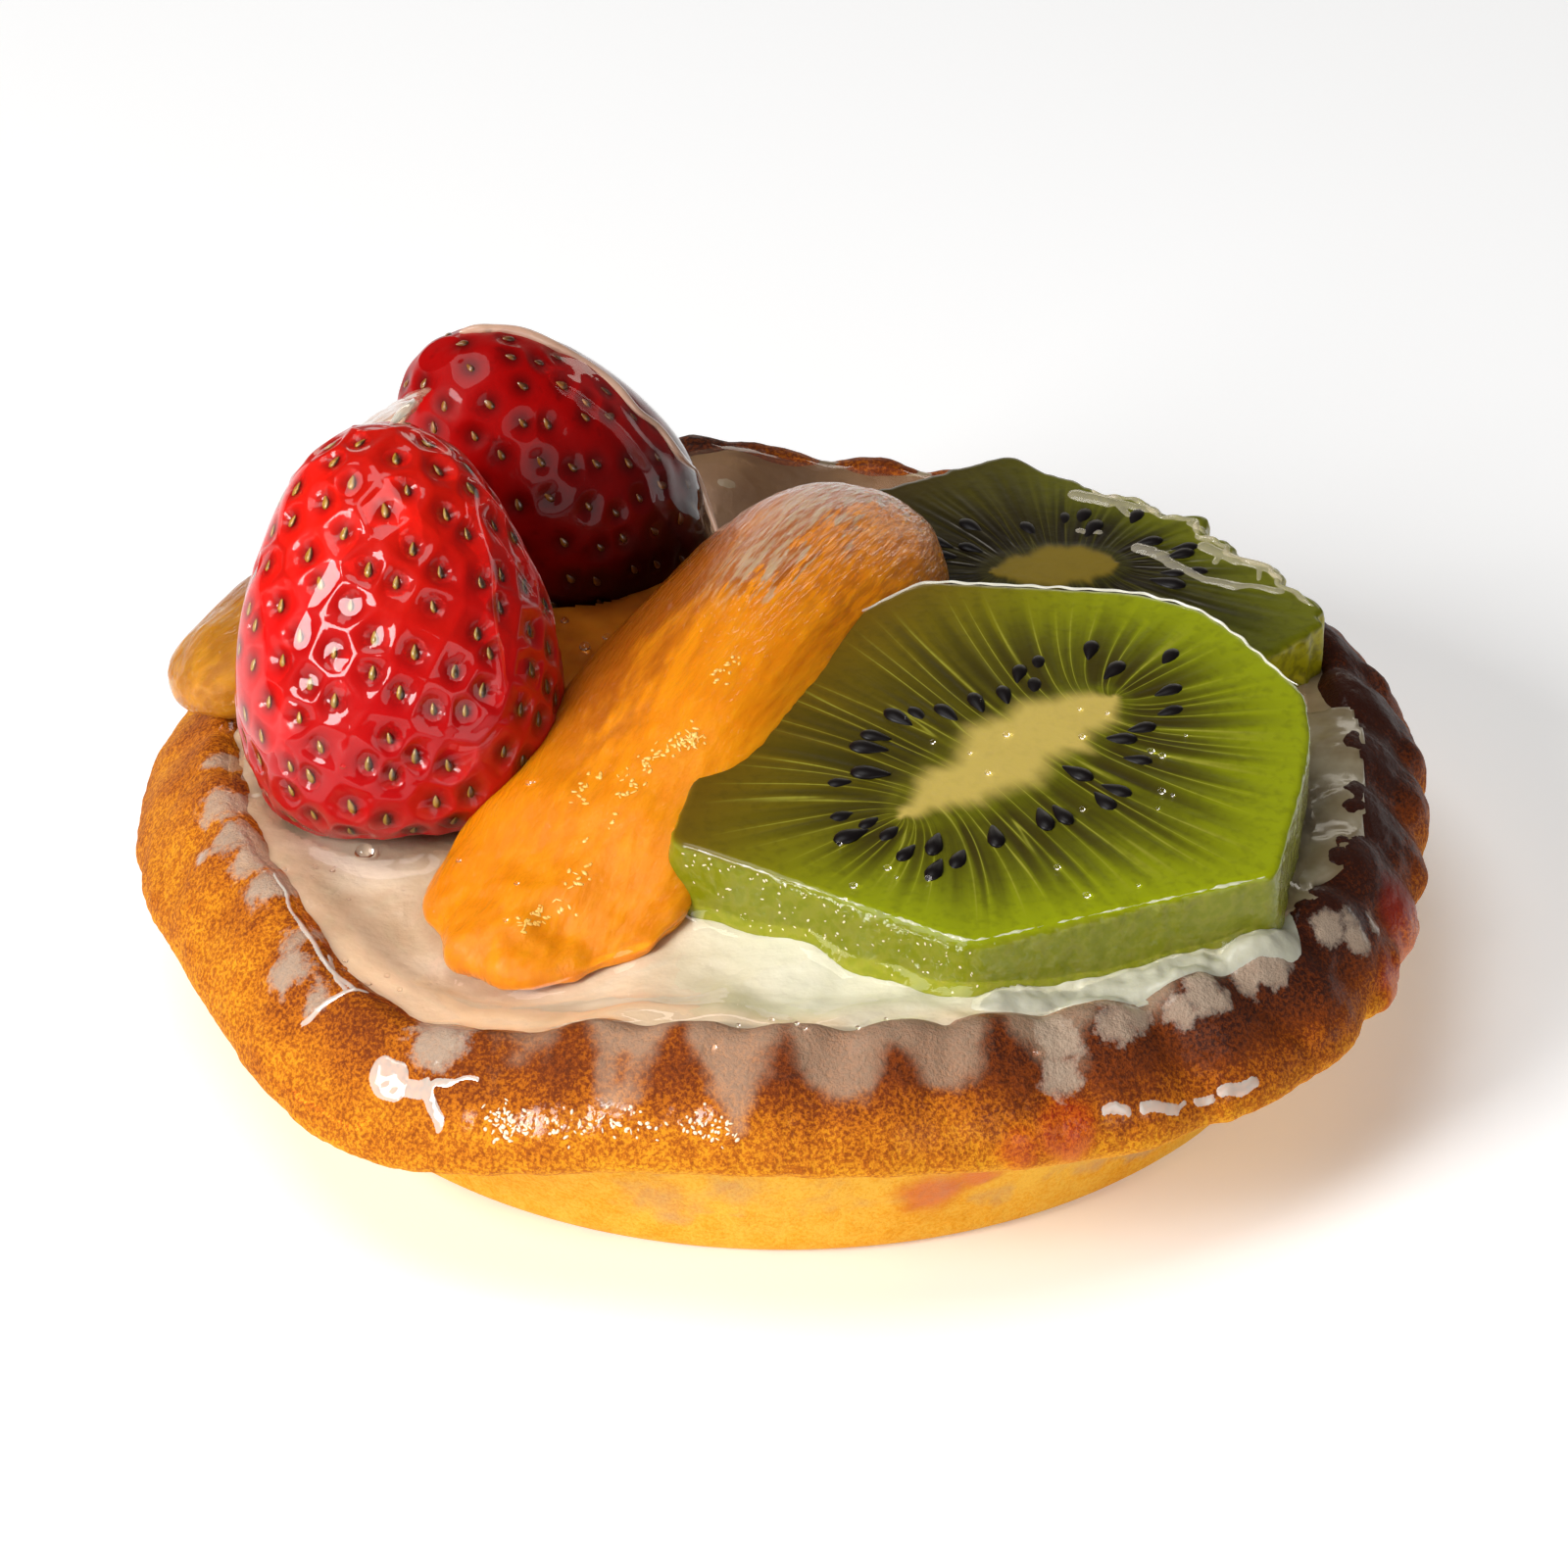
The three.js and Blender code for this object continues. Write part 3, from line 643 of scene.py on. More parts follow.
def film(tree, ripple):
    made = node(tree, "ShaderNodeGroup", node_tree=FILM)
    made.inputs[0].default_value = ripple
    return made.outputs[0]


def wet_coat(shader, weight, roughness, bend):
    """The layer of jelly over a fruit, which bends light by that index."""
    shader.inputs["Coat Weight"].default_value = weight
    shader.inputs["Coat Roughness"].default_value = roughness
    shader.inputs["Coat IOR"].default_value = bend


def strawberry_flesh(name, low, high, pit_shade, wetness):
    flesh, tree, shader = finish(name, Roughness=0.45, Specular_IOR_Level=0.06)
    wet_coat(shader, wetness, 0.03, 1.36)
    skin = masks(tree, "skin")
    patchy = noise(tree, 150, 3)
    rise = times(tree, skin[1], between(tree, patchy, 0.3, 0.7, -0.12, 0.12), "ADD")
    # Painted shade: the flesh darkens from its high colour at the tip to its low one at the hull, down by the
    # cream.
    red = tint(tree, between(tree, rise, 0.15, 0.95), low, high)
    # Painted shade in the dimple round each seed.
    red = tint(tree, times(tree, skin[0], 0.8), red, pit_shade)
    red = tint(tree, between(tree, noise(tree, 900, 2), 0.55, 0.8, 0, 0.35), red, low)
    connect(tree, shader, Base_Color=red, Normal=bump(tree, noise(tree, 1400, 2), 0.05, 0.6))
    connect(tree, shader, Coat_Normal=film(tree, 0.12))
    soften(shader, 0.3, 2.4, 0.35, 0.2)
    return flesh


def berry_seed_finish(name, light, dark):
    husk, tree, shader = finish(name, Roughness=0.35, Coat_Weight=0.8, Coat_Roughness=0.05)
    # Painted shade: each seed turns from its light colour to its dark one where it faces +X, away from the
    # key light.
    normal = node(tree, "ShaderNodeNewGeometry").outputs["Normal"]
    side = node(tree, "ShaderNodeSeparateXYZ", {0: normal}).outputs[0]
    patchy = noise(tree, 900, 2)
    share = between(tree, times(tree, side, times(tree, patchy, 1.4), "ADD"), 0.35, 1.2)
    connect(tree, shader, Base_Color=tint(tree, share, light, dark))
    return husk


front_flesh = strawberry_flesh(
    "strawberry_red", (0.46, 0.002, 0.003, 1), (0.54, 0.006, 0.001, 1), (0.07, 0.001, 0.001, 1), 1
)
# The rear berry is a shaded copy of the same flesh, painted much darker, near black at its foot.
rear_flesh = strawberry_flesh(
    "strawberry_red_painted_shade", (0.035, 0.001, 0.001, 1), (0.36, 0.001, 0.001, 1), (0.05, 0.001, 0.001, 1), 0.4
)
front_husk = berry_seed_finish("seed_olive", (0.30, 0.17, 0.015, 1), (0.03, 0.010, 0.003, 1))
rear_husk = berry_seed_finish("seed_yellow", (0.26, 0.10, 0.008, 1), (0.06, 0.015, 0.003, 1))
front_berry = make_berry(
    FRONT_BERRY, "front_strawberry", front_flesh, front_husk, "strawberry_front"
)
rear_berry = make_berry(
    REAR_BERRY, "rear_strawberry", rear_flesh, rear_husk, "strawberry_rear"
)


# ---- Kiwi slices ---------------------------------------------------------------------------------------
# Two thick slices, peeled with a knife so that the side is in flat facets. The pale core is long; fine pale
# rays run out from it through a dark zone that holds the black seeds, into green flesh.
# Corners are (angle, radius) round the upper face, whose middle is the centre. The flare is how far the
# foot stands out in front, and the core is a long oval.
FRONT_KIWI = {
    "centre": (15.4, -13.8, 26.6), "pitch": 8.0, "roll": 0.6, "rough": 0.10, "thick": 6.4, "flare": 3.6,
    "corners": [
        (9, 23.1), (20, 23.9), (40, 23.4), (50, 23.7), (62, 22.7), (78, 21.0), (104, 21.8), (129, 19.6),
        (164, 21.0), (202, 25.4), (263, 20.6), (327, 23.3), (353, 21.9),
    ],
    "core": {"at": (0.8, 0.3), "turn": 42, "half": 11.2, "thick": 3.5},
}
REAR_KIWI = {
    "centre": (19.0, 15.2, 24.6), "pitch": 4.5, "roll": 0.4, "rough": 0.5, "thick": 6.4, "flare": 0,
    "corners": [
        (-14, 21.8), (-5, 21.2), (1, 18.6), (8, 18.9), (14, 15.8), (23, 16.2), (27, 14.3), (36, 16.4),
        (42, 13.9), (56, 15.0), (66, 13.6), (76, 15.4), (84, 15.6), (95, 18.5), (106, 17.2), (120, 16.4),
        (140, 18.8), (196, 20.4), (236, 20.4), (290, 20.6),
    ],
    "core": {"at": (1.4, 2.2), "turn": 8, "half": 5.6, "thick": 2.8},
}
# Where the front slice's seeds show, in millimetres from its centre.
FRONT_SEEDS = [
    (7.0, 12.8), (3.1, 11.1), (1.7, 9.9), (12.7, 12.0), (8.6, 10.4), (12.5, 8.1), (12.5, 5.8), (10.4, 3.8),
    (8.8, 2.5), (10.0, 0.1), (5.6, -1.5), (8.3, -3.3), (7.4, -4.5), (3.1, -6.7), (4.4, -6.2), (0.6, 7.4),
    (2.8, 8.4), (-1.4, 6.5), (-3.6, 5.3), (-5.7, 5.1), (-7.1, 4.7), (-8.8, 2.5), (-9.3, 1.2), (-9.2, -1.7),
    (-11.3, -2.8), (-11.1, -6.5), (-9.2, -7.2), (-10.6, -8.8), (-7.8, -8.4), (-6.7, -10.6), (-4.7, -9.6),
    (-4.7, -12.4), (-3.0, -11.1), (-0.4, -8.7),
]


def kiwi_turn(kiwi):
    tilt = Euler((math.radians(kiwi["pitch"]), math.radians(kiwi["roll"]), 0))
    return np.array(tilt.to_matrix())


def kiwi_outline(kiwi, angle):
    """The slice's radius at an angle: flat knife facets between slightly rounded corners."""
    turns = np.radians([corner[0] for corner in kiwi["corners"]])
    radii = np.array([corner[1] for corner in kiwi["corners"]])
    corners = np.stack([radii * np.cos(turns), radii * np.sin(turns)], axis=1)
    rounding = 1.2
    path = []
    for i, corner in enumerate(corners):
        before, after = corners[i - 1], corners[(i + 1) % len(corners)]
        enter = corner + (before - corner) * min(rounding / np.linalg.norm(before - corner), 0.4)
        leave = corner + (after - corner) * min(rounding / np.linalg.norm(after - corner), 0.4)
        for t in np.linspace(0, 1, 7):
            path.append((1 - t) ** 2 * enter + 2 * t * (1 - t) * corner + t * t * leave)
    path.append(path[0])
    path = np.array(path)
    steps = np.linspace(0, 1, 12, endpoint=False)[:, None]
    fine = np.concatenate([start + (end - start) * steps for start, end in zip(path, path[1:])])
    along = np.arctan2(fine[:, 1], fine[:, 0])
    order = np.argsort(along)
    return np.interp((angle + np.pi) % TURN - np.pi, along[order], np.hypot(*fine[order].T), period=TURN)


def kiwi_rays(kiwi, x, y):
    """Coordinates that follow the flesh: how far out from the core's line, and round it."""
    core = kiwi["core"]
    turn = math.radians(core["turn"])
    dx, dy = x - core["at"][0], y - core["at"][1]
    focus = math.sqrt(core["half"] ** 2 - core["thick"] ** 2)
    w = ((dx + 1j * dy) * np.exp(-1j * turn)) / focus
    w = w + np.where(np.abs(w.imag) < 1e-6, 1e-6j, 0)
    spread = np.arccosh(w)
    return np.abs(spread.real), np.where(spread.real < 0, -spread.imag, spread.imag)


def foot_out(kiwi, angle):
    """How far the foot stands out of the face's outline: most at the front, in a point."""
    away = np.abs((np.degrees(angle) + 97 + 180) % 360 - 180)
    return kiwi["flare"] * np.clip(1 - away / 80, 0, 1) ** 1.15


def kiwi_surface(kiwi):
    """The slice laid flat, its face at 0. Shares run out underneath, up the side and in over the face."""
    bevel, side_start, side_end, arc = 0.55, 0.12, 0.38, 0.14

    def surface(angle, share):
        outline = kiwi_outline(kiwi, angle)
        jag = 0.6 * cloud(np.stack([40 * np.cos(angle), 40 * np.sin(angle), 9 * share], axis=1), 1.7, 21)
        outline = outline + kiwi["rough"] * (jag + ripple(angle, 2, 4)) * ramp(share, 0.1, 0.2)
        side = np.clip((share - side_start) / (side_end - side_start), 0, 1)
        over = np.clip((share - side_end) / (1 - side_end), 0, 1)
        # The round edges take the first and last stretch of the side.
        lower, upper = np.clip(side / arc, 0, 1), np.clip((1 - side) / arc, 0, 1)
        foot = foot_out(kiwi, angle)
        radius = outline - bevel * (2 - np.sqrt(1 - (1 - lower) ** 2) - np.sqrt(1 - (1 - upper) ** 2))
        radius = radius + foot * (1 - side)
        radius = np.where(share < side_start, (outline + foot - bevel) * share / side_start, radius)
        radius = np.where(over > 0, (outline - bevel) * (1 - over), radius)
        straight = np.clip((side - arc) / (1 - 2 * arc), 0, 1) * (kiwi["thick"] - 2 * bevel)
        height = -kiwi["thick"] + bevel * lower + straight + bevel * (1 - upper)
        height = np.where(over > 0, 0, np.where(share < side_start, -kiwi["thick"], height))
        return np.stack([radius * np.cos(angle), radius * np.sin(angle), height], axis=1)

    return surface


def make_kiwi(kiwi, name, seeds, flesh, seed_finish, cad_node):
    slab = wrapped_sheet(name, 560, 150, kiwi_surface(kiwi))
    at = places(slab)
    x, y, z = at.T
    out, round_core = kiwi_rays(kiwi, x, y)
    core_edge = math.atanh(kiwi["core"]["thick"] / kiwi["core"]["half"])
    reach = np.hypot(x, y) / kiwi_outline(kiwi, np.arctan2(y, x))
    rays = np.stack([16 * np.cos(round_core), 16 * np.sin(round_core), 1.2 * out], axis=1)
    on_top = ramp(z, -0.5, -0.05)
    # The core's edge runs out in uneven points.
    points = 0.14 * cloud(rays, 4.0, 22) + 0.05 * cloud(rays, 1.3, 23)
    tapered = core_edge * (0.12 + 0.80 * np.abs(np.sin(round_core)) ** 1.1)
    core = 1 - ramp(out - tapered - points, -0.08, 0.16)
    fibre = cloud(rays, 0.55, 24) * ramp(out, core_edge, core_edge + 0.3) * (1 - ramp(reach, 0.75, 0.97))
    beyond = out - core_edge
    seed_zone = ramp(beyond, -0.02, 0.18) * (1 - ramp(beyond, 0.36, 0.95))
    lip = ramp(z, -1.6, -0.4) * (1 - on_top)
    face_relief = 0.05 * fibre + 0.04 * core + 0.08 * cloud(at, 6, 25) - 0.05 * seed_zone
    side_relief = 0.12 * cloud(at, (5, 5, 2.5), 26) + (0.03 + 0.09 * lip) * cloud(at, 0.6, 27)
    push(slab, on_top * face_relief + (1 - on_top) * side_relief)
    paint(slab, "rays", np.cos(round_core), np.sin(round_core), out)
    paint(slab, "flesh", core, seed_zone, reach)
    # Painted shadow: this mask grows towards the slice's left, where the long peach lies over it.
    left = 1 - ramp(x * 0.8 - y * 0.45, -17, 3)
    paint(slab, "place", on_top, left)
    turn, centre = kiwi_turn(kiwi), np.array(kiwi["centre"])
    move_to(slab, places(slab) @ turn.T + centre)
    dress(slab, flesh, cad_node)

    # The seeds lie flat in the face, pointing roughly away from the core.
    chance = np.random.default_rng(3)
    copies = []
    for sx, sy in seeds:
        _, way = kiwi_rays(kiwi, np.array([sx]), np.array([sy]))
        ahead = kiwi["core"]["turn"] + math.degrees(way[0]) + chance.normal(0, 9)
        along = np.array([math.cos(math.radians(ahead)), math.sin(math.radians(ahead)), 0.0])
        away = np.array([sx - kiwi["core"]["at"][0], sy - kiwi["core"]["at"][1], 0])
        along = 0.6 * along + 0.4 * away / np.linalg.norm(away)
        size = np.array([2.7, 1.5, 0.8]) * chance.uniform(0.82, 1.12)
        spot = np.array([sx, sy, chance.uniform(-0.22, -0.02)])
        copies.append((turn @ spot + centre, turn @ standing_on(np.array([0, 0, 1.0]), -along), size))
    dress(repeated(name + "_seeds", bead(14, 10, 0.55), copies), seed_finish, cad_node)
    return slab


def kiwi_flesh(name, wetness, green, yellowish, shade_brown, dark, core_colour, ray_colour, side_colour):
    flesh, tree, shader = finish(name, Roughness=0.4, Specular_IOR_Level=0.1)
    wet_coat(shader, wetness, 0.035, 1.33)
    place, parts = masks(tree, "place"), masks(tree, "flesh")
    ray = node(tree, "ShaderNodeAttribute", attribute_name="rays").outputs["Vector"]
    straight = node(tree, "ShaderNodeVectorMath", {0: ray, 1: (1, 1, 0.05)}, operation="MULTIPLY").outputs[0]
    wide = noise(tree, 9, 1, straight)
    hair = noise(tree, 40, 2, straight)
    # The chambers that hold the seeds: 0 on the pale wall between two and 1 in the middle of one.
    way = node(tree, "ShaderNodeSeparateXYZ", {0: ray}).outputs
    chamber = times(tree, times(tree, way[1], way[0], "ARCTAN2"), 27)
    chamber = times(tree, chamber, between(tree, noise(tree, 5, 2, straight), 0.2, 0.8, -2.6, 2.6), "ADD")
    chamber = times(tree, times(tree, chamber, 0, "SINE"), 0, "ABSOLUTE")
    grainy = noise(tree, 1300, 2)
    base = tint(tree, between(tree, parts[2], 0.45, 1.0), green, yellowish)
    # Painted shadow of the peach: browner towards the slice's left.
    base = tint(tree, place[1], base, shade_brown)
    # The dark zone of flesh that holds the seeds, the kiwi's own colour.
    seed_ring = times(tree, parts[1], between(tree, wide, 0.35, 0.62, 0.5, 1.0))
    base = tint(tree, times(tree, seed_ring, between(tree, chamber, 0.1, 0.6, 0.35, 1.0)), base, dark)
    inside = between(tree, parts[2], 0.98, 0.45)
    band = between(tree, chamber, 0.4, 0.95, 0.0, 0.55)
    band = times(tree, band, between(tree, parts[2], 1.0, 0.6, 0.1, 1.0))
    base = tint(tree, times(tree, band, between(tree, wide, 0.35, 0.6, 0.35, 1.0)), base, dark)
    base = tint(tree, times(tree, between(tree, hair, 0.4, 0.65, 0.0, 0.3), inside), base, dark)
    streak = times(tree, between(tree, chamber, 0.22, 0.03), between(tree, parts[2], 0.97, 0.6))
    base = tint(tree, times(tree, streak, between(tree, hair, 0.3, 0.6, 0.25, 0.7)), base, ray_colour)
    base = tint(tree, parts[0], base, core_colour)
    side = tint(tree, between(tree, grainy, 0.4, 0.65, 0, 0.35), side_colour, ray_colour)
    base = tint(tree, place[0], side, base)
    grains = times(tree, between(tree, grainy, 0.45, 0.75, 0, 0.22), between(tree, parts[0], 0, 1, 1, 0.3))
    base = tint(tree, grains, base, dark)
    # The cut face is smooth under its jelly and the side glitters.
    glitter = bump(tree, noise(tree, 1500, 2), 0.22, 1.0, film(tree, 0.1))
    coats = {0: place[0], 4: glitter, 5: film(tree, 0.10)}
    wet = node(tree, "ShaderNodeMix", coats, data_type="VECTOR").outputs[1]
    connect(tree, shader, Base_Color=base, Normal=bump(tree, grainy, 0.06, 0.6), Coat_Normal=wet)
    soften(shader, 0.35, 1.2, 1.3, 0.25)
    return flesh


def oval_of_seeds(kiwi, count, half_length, half_width, lean):
    """Seeds in an uneven oval round the slice's core."""
    k = np.arange(count)
    swing = TURN * k / count + 0.12 * np.sin(5 * k)
    uneven = 1.3 * np.sin(2.6 * k)
    px, py = (half_length + uneven) * np.cos(swing), (half_width + uneven) * np.sin(swing)
    c, s = math.cos(math.radians(lean)), math.sin(math.radians(lean))
    return list(zip(px * c - py * s + kiwi["core"]["at"][0], px * s + py * c + kiwi["core"]["at"][1]))


front_green = kiwi_flesh(
    "kiwi_green", 1, (0.15, 0.155, 0.001, 1), (0.29, 0.33, 0.002, 1), (0.14, 0.075, 0.002, 1),
    (0.045, 0.034, 0.001, 1), (0.58, 0.43, 0.10, 1), (0.40, 0.38, 0.04, 1), (0.20, 0.215, 0.002, 1),
)
# The rear slice is a shaded copy of the kiwi flesh: its face painted dark as shade, its side painted lighter
# as light.
rear_green_shaded = kiwi_flesh(
    "kiwi_green_painted_shade", 0.5, (0.040, 0.036, 0.002, 1), (0.14, 0.145, 0.004, 1), (0.04, 0.022, 0.002, 1),
    (0.012, 0.008, 0.002, 1), (0.20, 0.135, 0.012, 1), (0.08, 0.07, 0.01, 1), (0.42, 0.36, 0.006, 1),
)
black, tree, shader = finish(
    "kiwi_seed_black", Base_Color=(0.005, 0.003, 0.003, 1), Roughness=0.4, Specular_IOR_Level=0.2
)
connect(tree, shader, Normal=bump(tree, noise(tree, 900, 2), 0.05, 0.5))
rear_seeds = oval_of_seeds(REAR_KIWI, 26, 9.8, 6.4, 12)
front_kiwi = make_kiwi(FRONT_KIWI, "front_kiwi", FRONT_SEEDS, front_green, black, "kiwi_slice_front")
rear_kiwi = make_kiwi(REAR_KIWI, "rear_kiwi", rear_seeds, rear_green_shaded, black, "kiwi_slice_rear")


# ---- Peach wedges --------------------------------------------------------------------------------------
# Tinned peach: one long wedge lying from the cream up to the kiwi, ragged at its low end, fibrous at its
# high one, and a short wedge behind the front strawberry, sunk in amber jelly.
LONG_PEACH = [  # the middle of a section, then half its width, its height above and its depth below
    ((-19.2, -30.4, 18.6), 5.0, 1.3, 1.0),
    ((-17.2, -24.4, 19.2), 9.0, 3.0, 1.6),
    ((-13.2, -16.4, 21.4), 9.6, 4.6, 3.8),
    ((-8.0, -7.0, 24.2), 9.6, 5.4, 6.2),
    ((-2.4, 3.6, 25.4), 9.6, 6.0, 7.2),
    ((2.8, 14.0, 25.6), 9.8, 6.2, 7.4),
    ((6.6, 23.6, 25.2), 8.6, 5.6, 6.6),
]
SHORT_PEACH = [
    ((-43.0, 4.0, 20.6), 3.6, 2.2, 2.0),
    ((-40.6, 9.6, 21.2), 5.0, 3.2, 3.0),
    ((-36.4, 15.6, 21.6), 5.6, 3.6, 3.6),
    ((-31.0, 21.2, 21.4), 5.4, 3.4, 3.4),
    ((-25.6, 25.6, 20.6), 4.2, 2.6, 2.8),
]


def peach_surface(stations, seed):
    centres = [station[0] for station in stations]
    sizes = np.array([station[1:] for station in stations])

    def surface(angle, share):
        share = share - 0.03 * np.sin(TURN * share)
        middle = spline(centres, share)
        along = spline(centres, np.clip(share + 0.01, 0, 1)) - spline(centres, np.clip(share - 0.01, 0, 1))
        along[:, 2] = 0
        along /= np.linalg.norm(along, axis=1)[:, None]
        side = np.stack([-along[:, 1], along[:, 0], 0 * share], axis=1)
        step = np.minimum(share * (len(sizes) - 1), len(sizes) - 1 - 1e-6)
        low, t = step.astype(int), ramp(step % 1, 0, 1)[:, None]
        half, up, down = (sizes[low] * (1 - t) + sizes[low + 1] * t).T
        ends = np.sqrt(np.clip(1 - np.abs(2 * share - 1) ** 7, 0, 1))
        full = 1 + 0.05 * ripple(angle, share * 24, seed) * ends
        c, s = np.cos(angle), np.sin(angle)
        across = np.sign(c) * np.abs(c) ** 0.86 * half * full * ends
        lift = np.where(s > 0, up * np.abs(s) ** 1.12, -down * np.abs(s) ** 0.62) * ends * full
        point = middle + side * across[:, None]
        point[:, 2] += lift
        return point

    return surface


def make_peach(stations, seed, name, rows, flesh, cad_node):
    wedge = wrapped_sheet(name, 300, rows, peach_surface(stations, seed))
    at = places(wedge)
    low_end, high_end = np.array(stations[0][0]), np.array(stations[-1][0])
    axis = (high_end - low_end) / np.linalg.norm(high_end - low_end)
    run = (at - low_end) @ axis / np.linalg.norm(high_end - low_end)
    side = np.array([axis[1], -axis[0], 0]) / math.hypot(axis[0], axis[1])
    frame_at = np.stack([at @ axis, at @ side, at[:, 2]], axis=1)
    fibre = cloud(frame_at, (7, 1.1, 1.1), seed + 40) * 0.5 + cloud(frame_at, (4, 0.5, 0.5), seed + 41) * 0.3
    tatter = (1 - ramp(run, 0.02, 0.22)) * (seed == 3)
    rough = 0.14 * fibre + 0.18 * cloud(at, 8, seed + 42) + 0.03 * cloud(at, 1.0, seed + 43)
    upright = at * np.array([1, 1, 0.25])
    shreds = 1.1 * cloud(upright, 4.2, seed + 44) + 0.25 * cloud(upright, 1.6, seed + 45)
    push(wedge, rough + tatter * shreds)
    paint(wedge, "fibres", *(frame_at * [0.14, 1, 1] / 10).T)
    # The crown, the top of the high end beside the berries, is where the painted glare goes.
    from_middle = at - spline([station[0] for station in stations], run)
    crown = ramp(from_middle[:, 2], 0.3, 2.6) * ramp(from_middle @ side, -5.0, -1.0)
    crown = crown * (1 - ramp(run, 0.93, 1.0))
    paint(wedge, "peach", run, (at - low_end) @ side, crown)
    dress(wedge, flesh, cad_node)
    return wedge


def peach_flesh(name, bright, shaded, streak_colour, glare_colour):
    flesh, tree, shader = finish(name, Roughness=0.4, Specular_IOR_Level=0.12)
    wet_coat(shader, 1, 0.045, 1.33)
    peach = masks(tree, "peach")
    fibres = node(tree, "ShaderNodeAttribute", attribute_name="fibres").outputs["Vector"]
    threads = noise(tree, 9, 3, fibres)
    base = tint(tree, between(tree, threads, 0.35, 0.7), bright, streak_colour)
    base = tint(tree, between(tree, noise(tree, 90, 3), 0.5, 0.8, 0, 0.15), base, shaded)
    edge = times(tree, peach[1], between(tree, threads, 0.2, 0.8, -2, 2), "ADD")
    edge = between(tree, edge, 0.5, -5, 0, 0.9)
    edge = times(tree, edge, between(tree, peach[0], 0.2, 0.42, 0.12, 1.0))
    base = tint(tree, edge, base, shaded)
    # A painted reflection: the whitish glare of the jelly on the high end, feathered along the fibres.
    torn = times(tree, noise(tree, 14, 4, fibres), times(tree, noise(tree, 110, 3), 0.5), "ADD")
    slope = times(tree, peach[1], times(tree, peach[0], -12.7), "ADD")
    slope = times(tree, slope, between(tree, torn, 0.5, 1.0, 3.5, -3.5), "ADD")
    glare = times(tree, between(tree, slope, -6.9, -7.9), between(tree, peach[0], 0.56, 0.66))
    glare = times(tree, glare, peach[2])
    dashes = between(tree, noise(tree, 34, 3, fibres), 0.38, 0.6)
    dashes = times(tree, dashes, between(tree, peach[0], 0.5, 0.75, 0, 0.55))
    base = tint(tree, dashes, base, shaded)
    feathery = tint(tree, between(tree, noise(tree, 22, 3, fibres), 0.4, 0.62), shaded, glare_colour)
    base = tint(tree, times(tree, glare, 0.85), base, feathery)
    creases = noise(tree, 30, 3, fibres)
    connect(tree, shader, Base_Color=base, Normal=bump(tree, threads, 0.35, 0.6))
    connect(tree, shader, Coat_Normal=bump(tree, creases, 0.55, 0.9, film(tree, 0.08)))
    soften(shader, 0.4, 3.0, 1.2, 0.15)
    return flesh


orange = peach_flesh(
    "peach_orange",
    (0.82, 0.24, 0.001, 1), (0.36, 0.08, 0.002, 1), (0.88, 0.29, 0.002, 1), (0.50, 0.36, 0.22, 1),
)
amber = peach_flesh(
    "peach_amber",
    (0.44, 0.16, 0.003, 1), (0.32, 0.09, 0.003, 1), (0.60, 0.25, 0.008, 1), (0.52, 0.30, 0.10, 1),
)
long_peach = make_peach(LONG_PEACH, 3, "long_peach", 300, orange, "peach_wedge_long")
short_peach = make_peach(SHORT_PEACH, 8, "short_peach", 150, amber, "peach_wedge_short")


# ---- Jelly ---------------------------------------------------------------------------------------------
# Clear arrowroot jelly, brushed on hot. It pools between the fruits, hangs in a lip on the rear strawberry,
# bridges to the peach and the back rim, and stands on the rim in a blob and in shiny dashes.
def jelly_finish(name, colour, clearness, roughness, bend, ripple):
    """Jelly that light passes through, by its clearness, with a surface that ripples."""
    material, tree, shader = finish(name, Base_Color=colour, Roughness=roughness, IOR=bend)
    shader.inputs["Transmission Weight"].default_value = clearness
    connect(tree, shader, Normal=film(tree, ripple))
    return material, shader


clear, shader = jelly_finish("clear_jelly", (1, 0.96, 0.94, 1), 1, 0.02, 1.36, 0.2)
pink, shader = jelly_finish("pinkish_jelly", (0.54, 0.34, 0.23, 1), 0.86, 0.05, 1.33, 0.2)
# Cloudy glaze for the rear slice, its pale colour partly its own and partly a painted reflection.
cloudy_and_sheen, shader = jelly_finish("cloudy_glaze_and_sheen", (0.80, 0.72, 0.56, 1), 0.72, 0.08, 1.38, 0.3)
# Glaze beads and threads whose near-white colour is a painted highlight on the jelly.
glaze_glint, shader = jelly_finish("glaze_with_painted_glint", (0.86, 0.84, 0.74, 1), 0.5, 0.12, 1.4, 0.3)
wet_coat(shader, 1, 0.04, 1.5)
# Milky jelly for the web, its own colour, and for the rear berry's lip, whose pale pink is a painted
# reflection.
milky_and_sheen, tree, shader = finish("milky_jelly_and_sheen", Base_Color=(0.74, 0.50, 0.36, 1), Roughness=0.2, IOR=1.36)
shader.inputs["Transmission Weight"].default_value = 0.35
wet_coat(shader, 0.8, 0.05, 1.5)
connect(tree, shader, Normal=bump(tree, noise(tree, 700, 3), 0.2, 0.8))


def jelly_coat(berry, name, cad_node, thickness_at):
    """Jelly on a berry: its smooth skin again, out by a thickness, or sunk in the flesh where it is bare."""
    coat = wrapped_sheet(name, 260, 200, lambda angle, share: berry_skin(berry, angle, share))
    push(coat, thickness_at(places(coat), normals(coat)) - 0.02)
    dress(coat, clear, cad_node)
    coat.visible_shadow = False


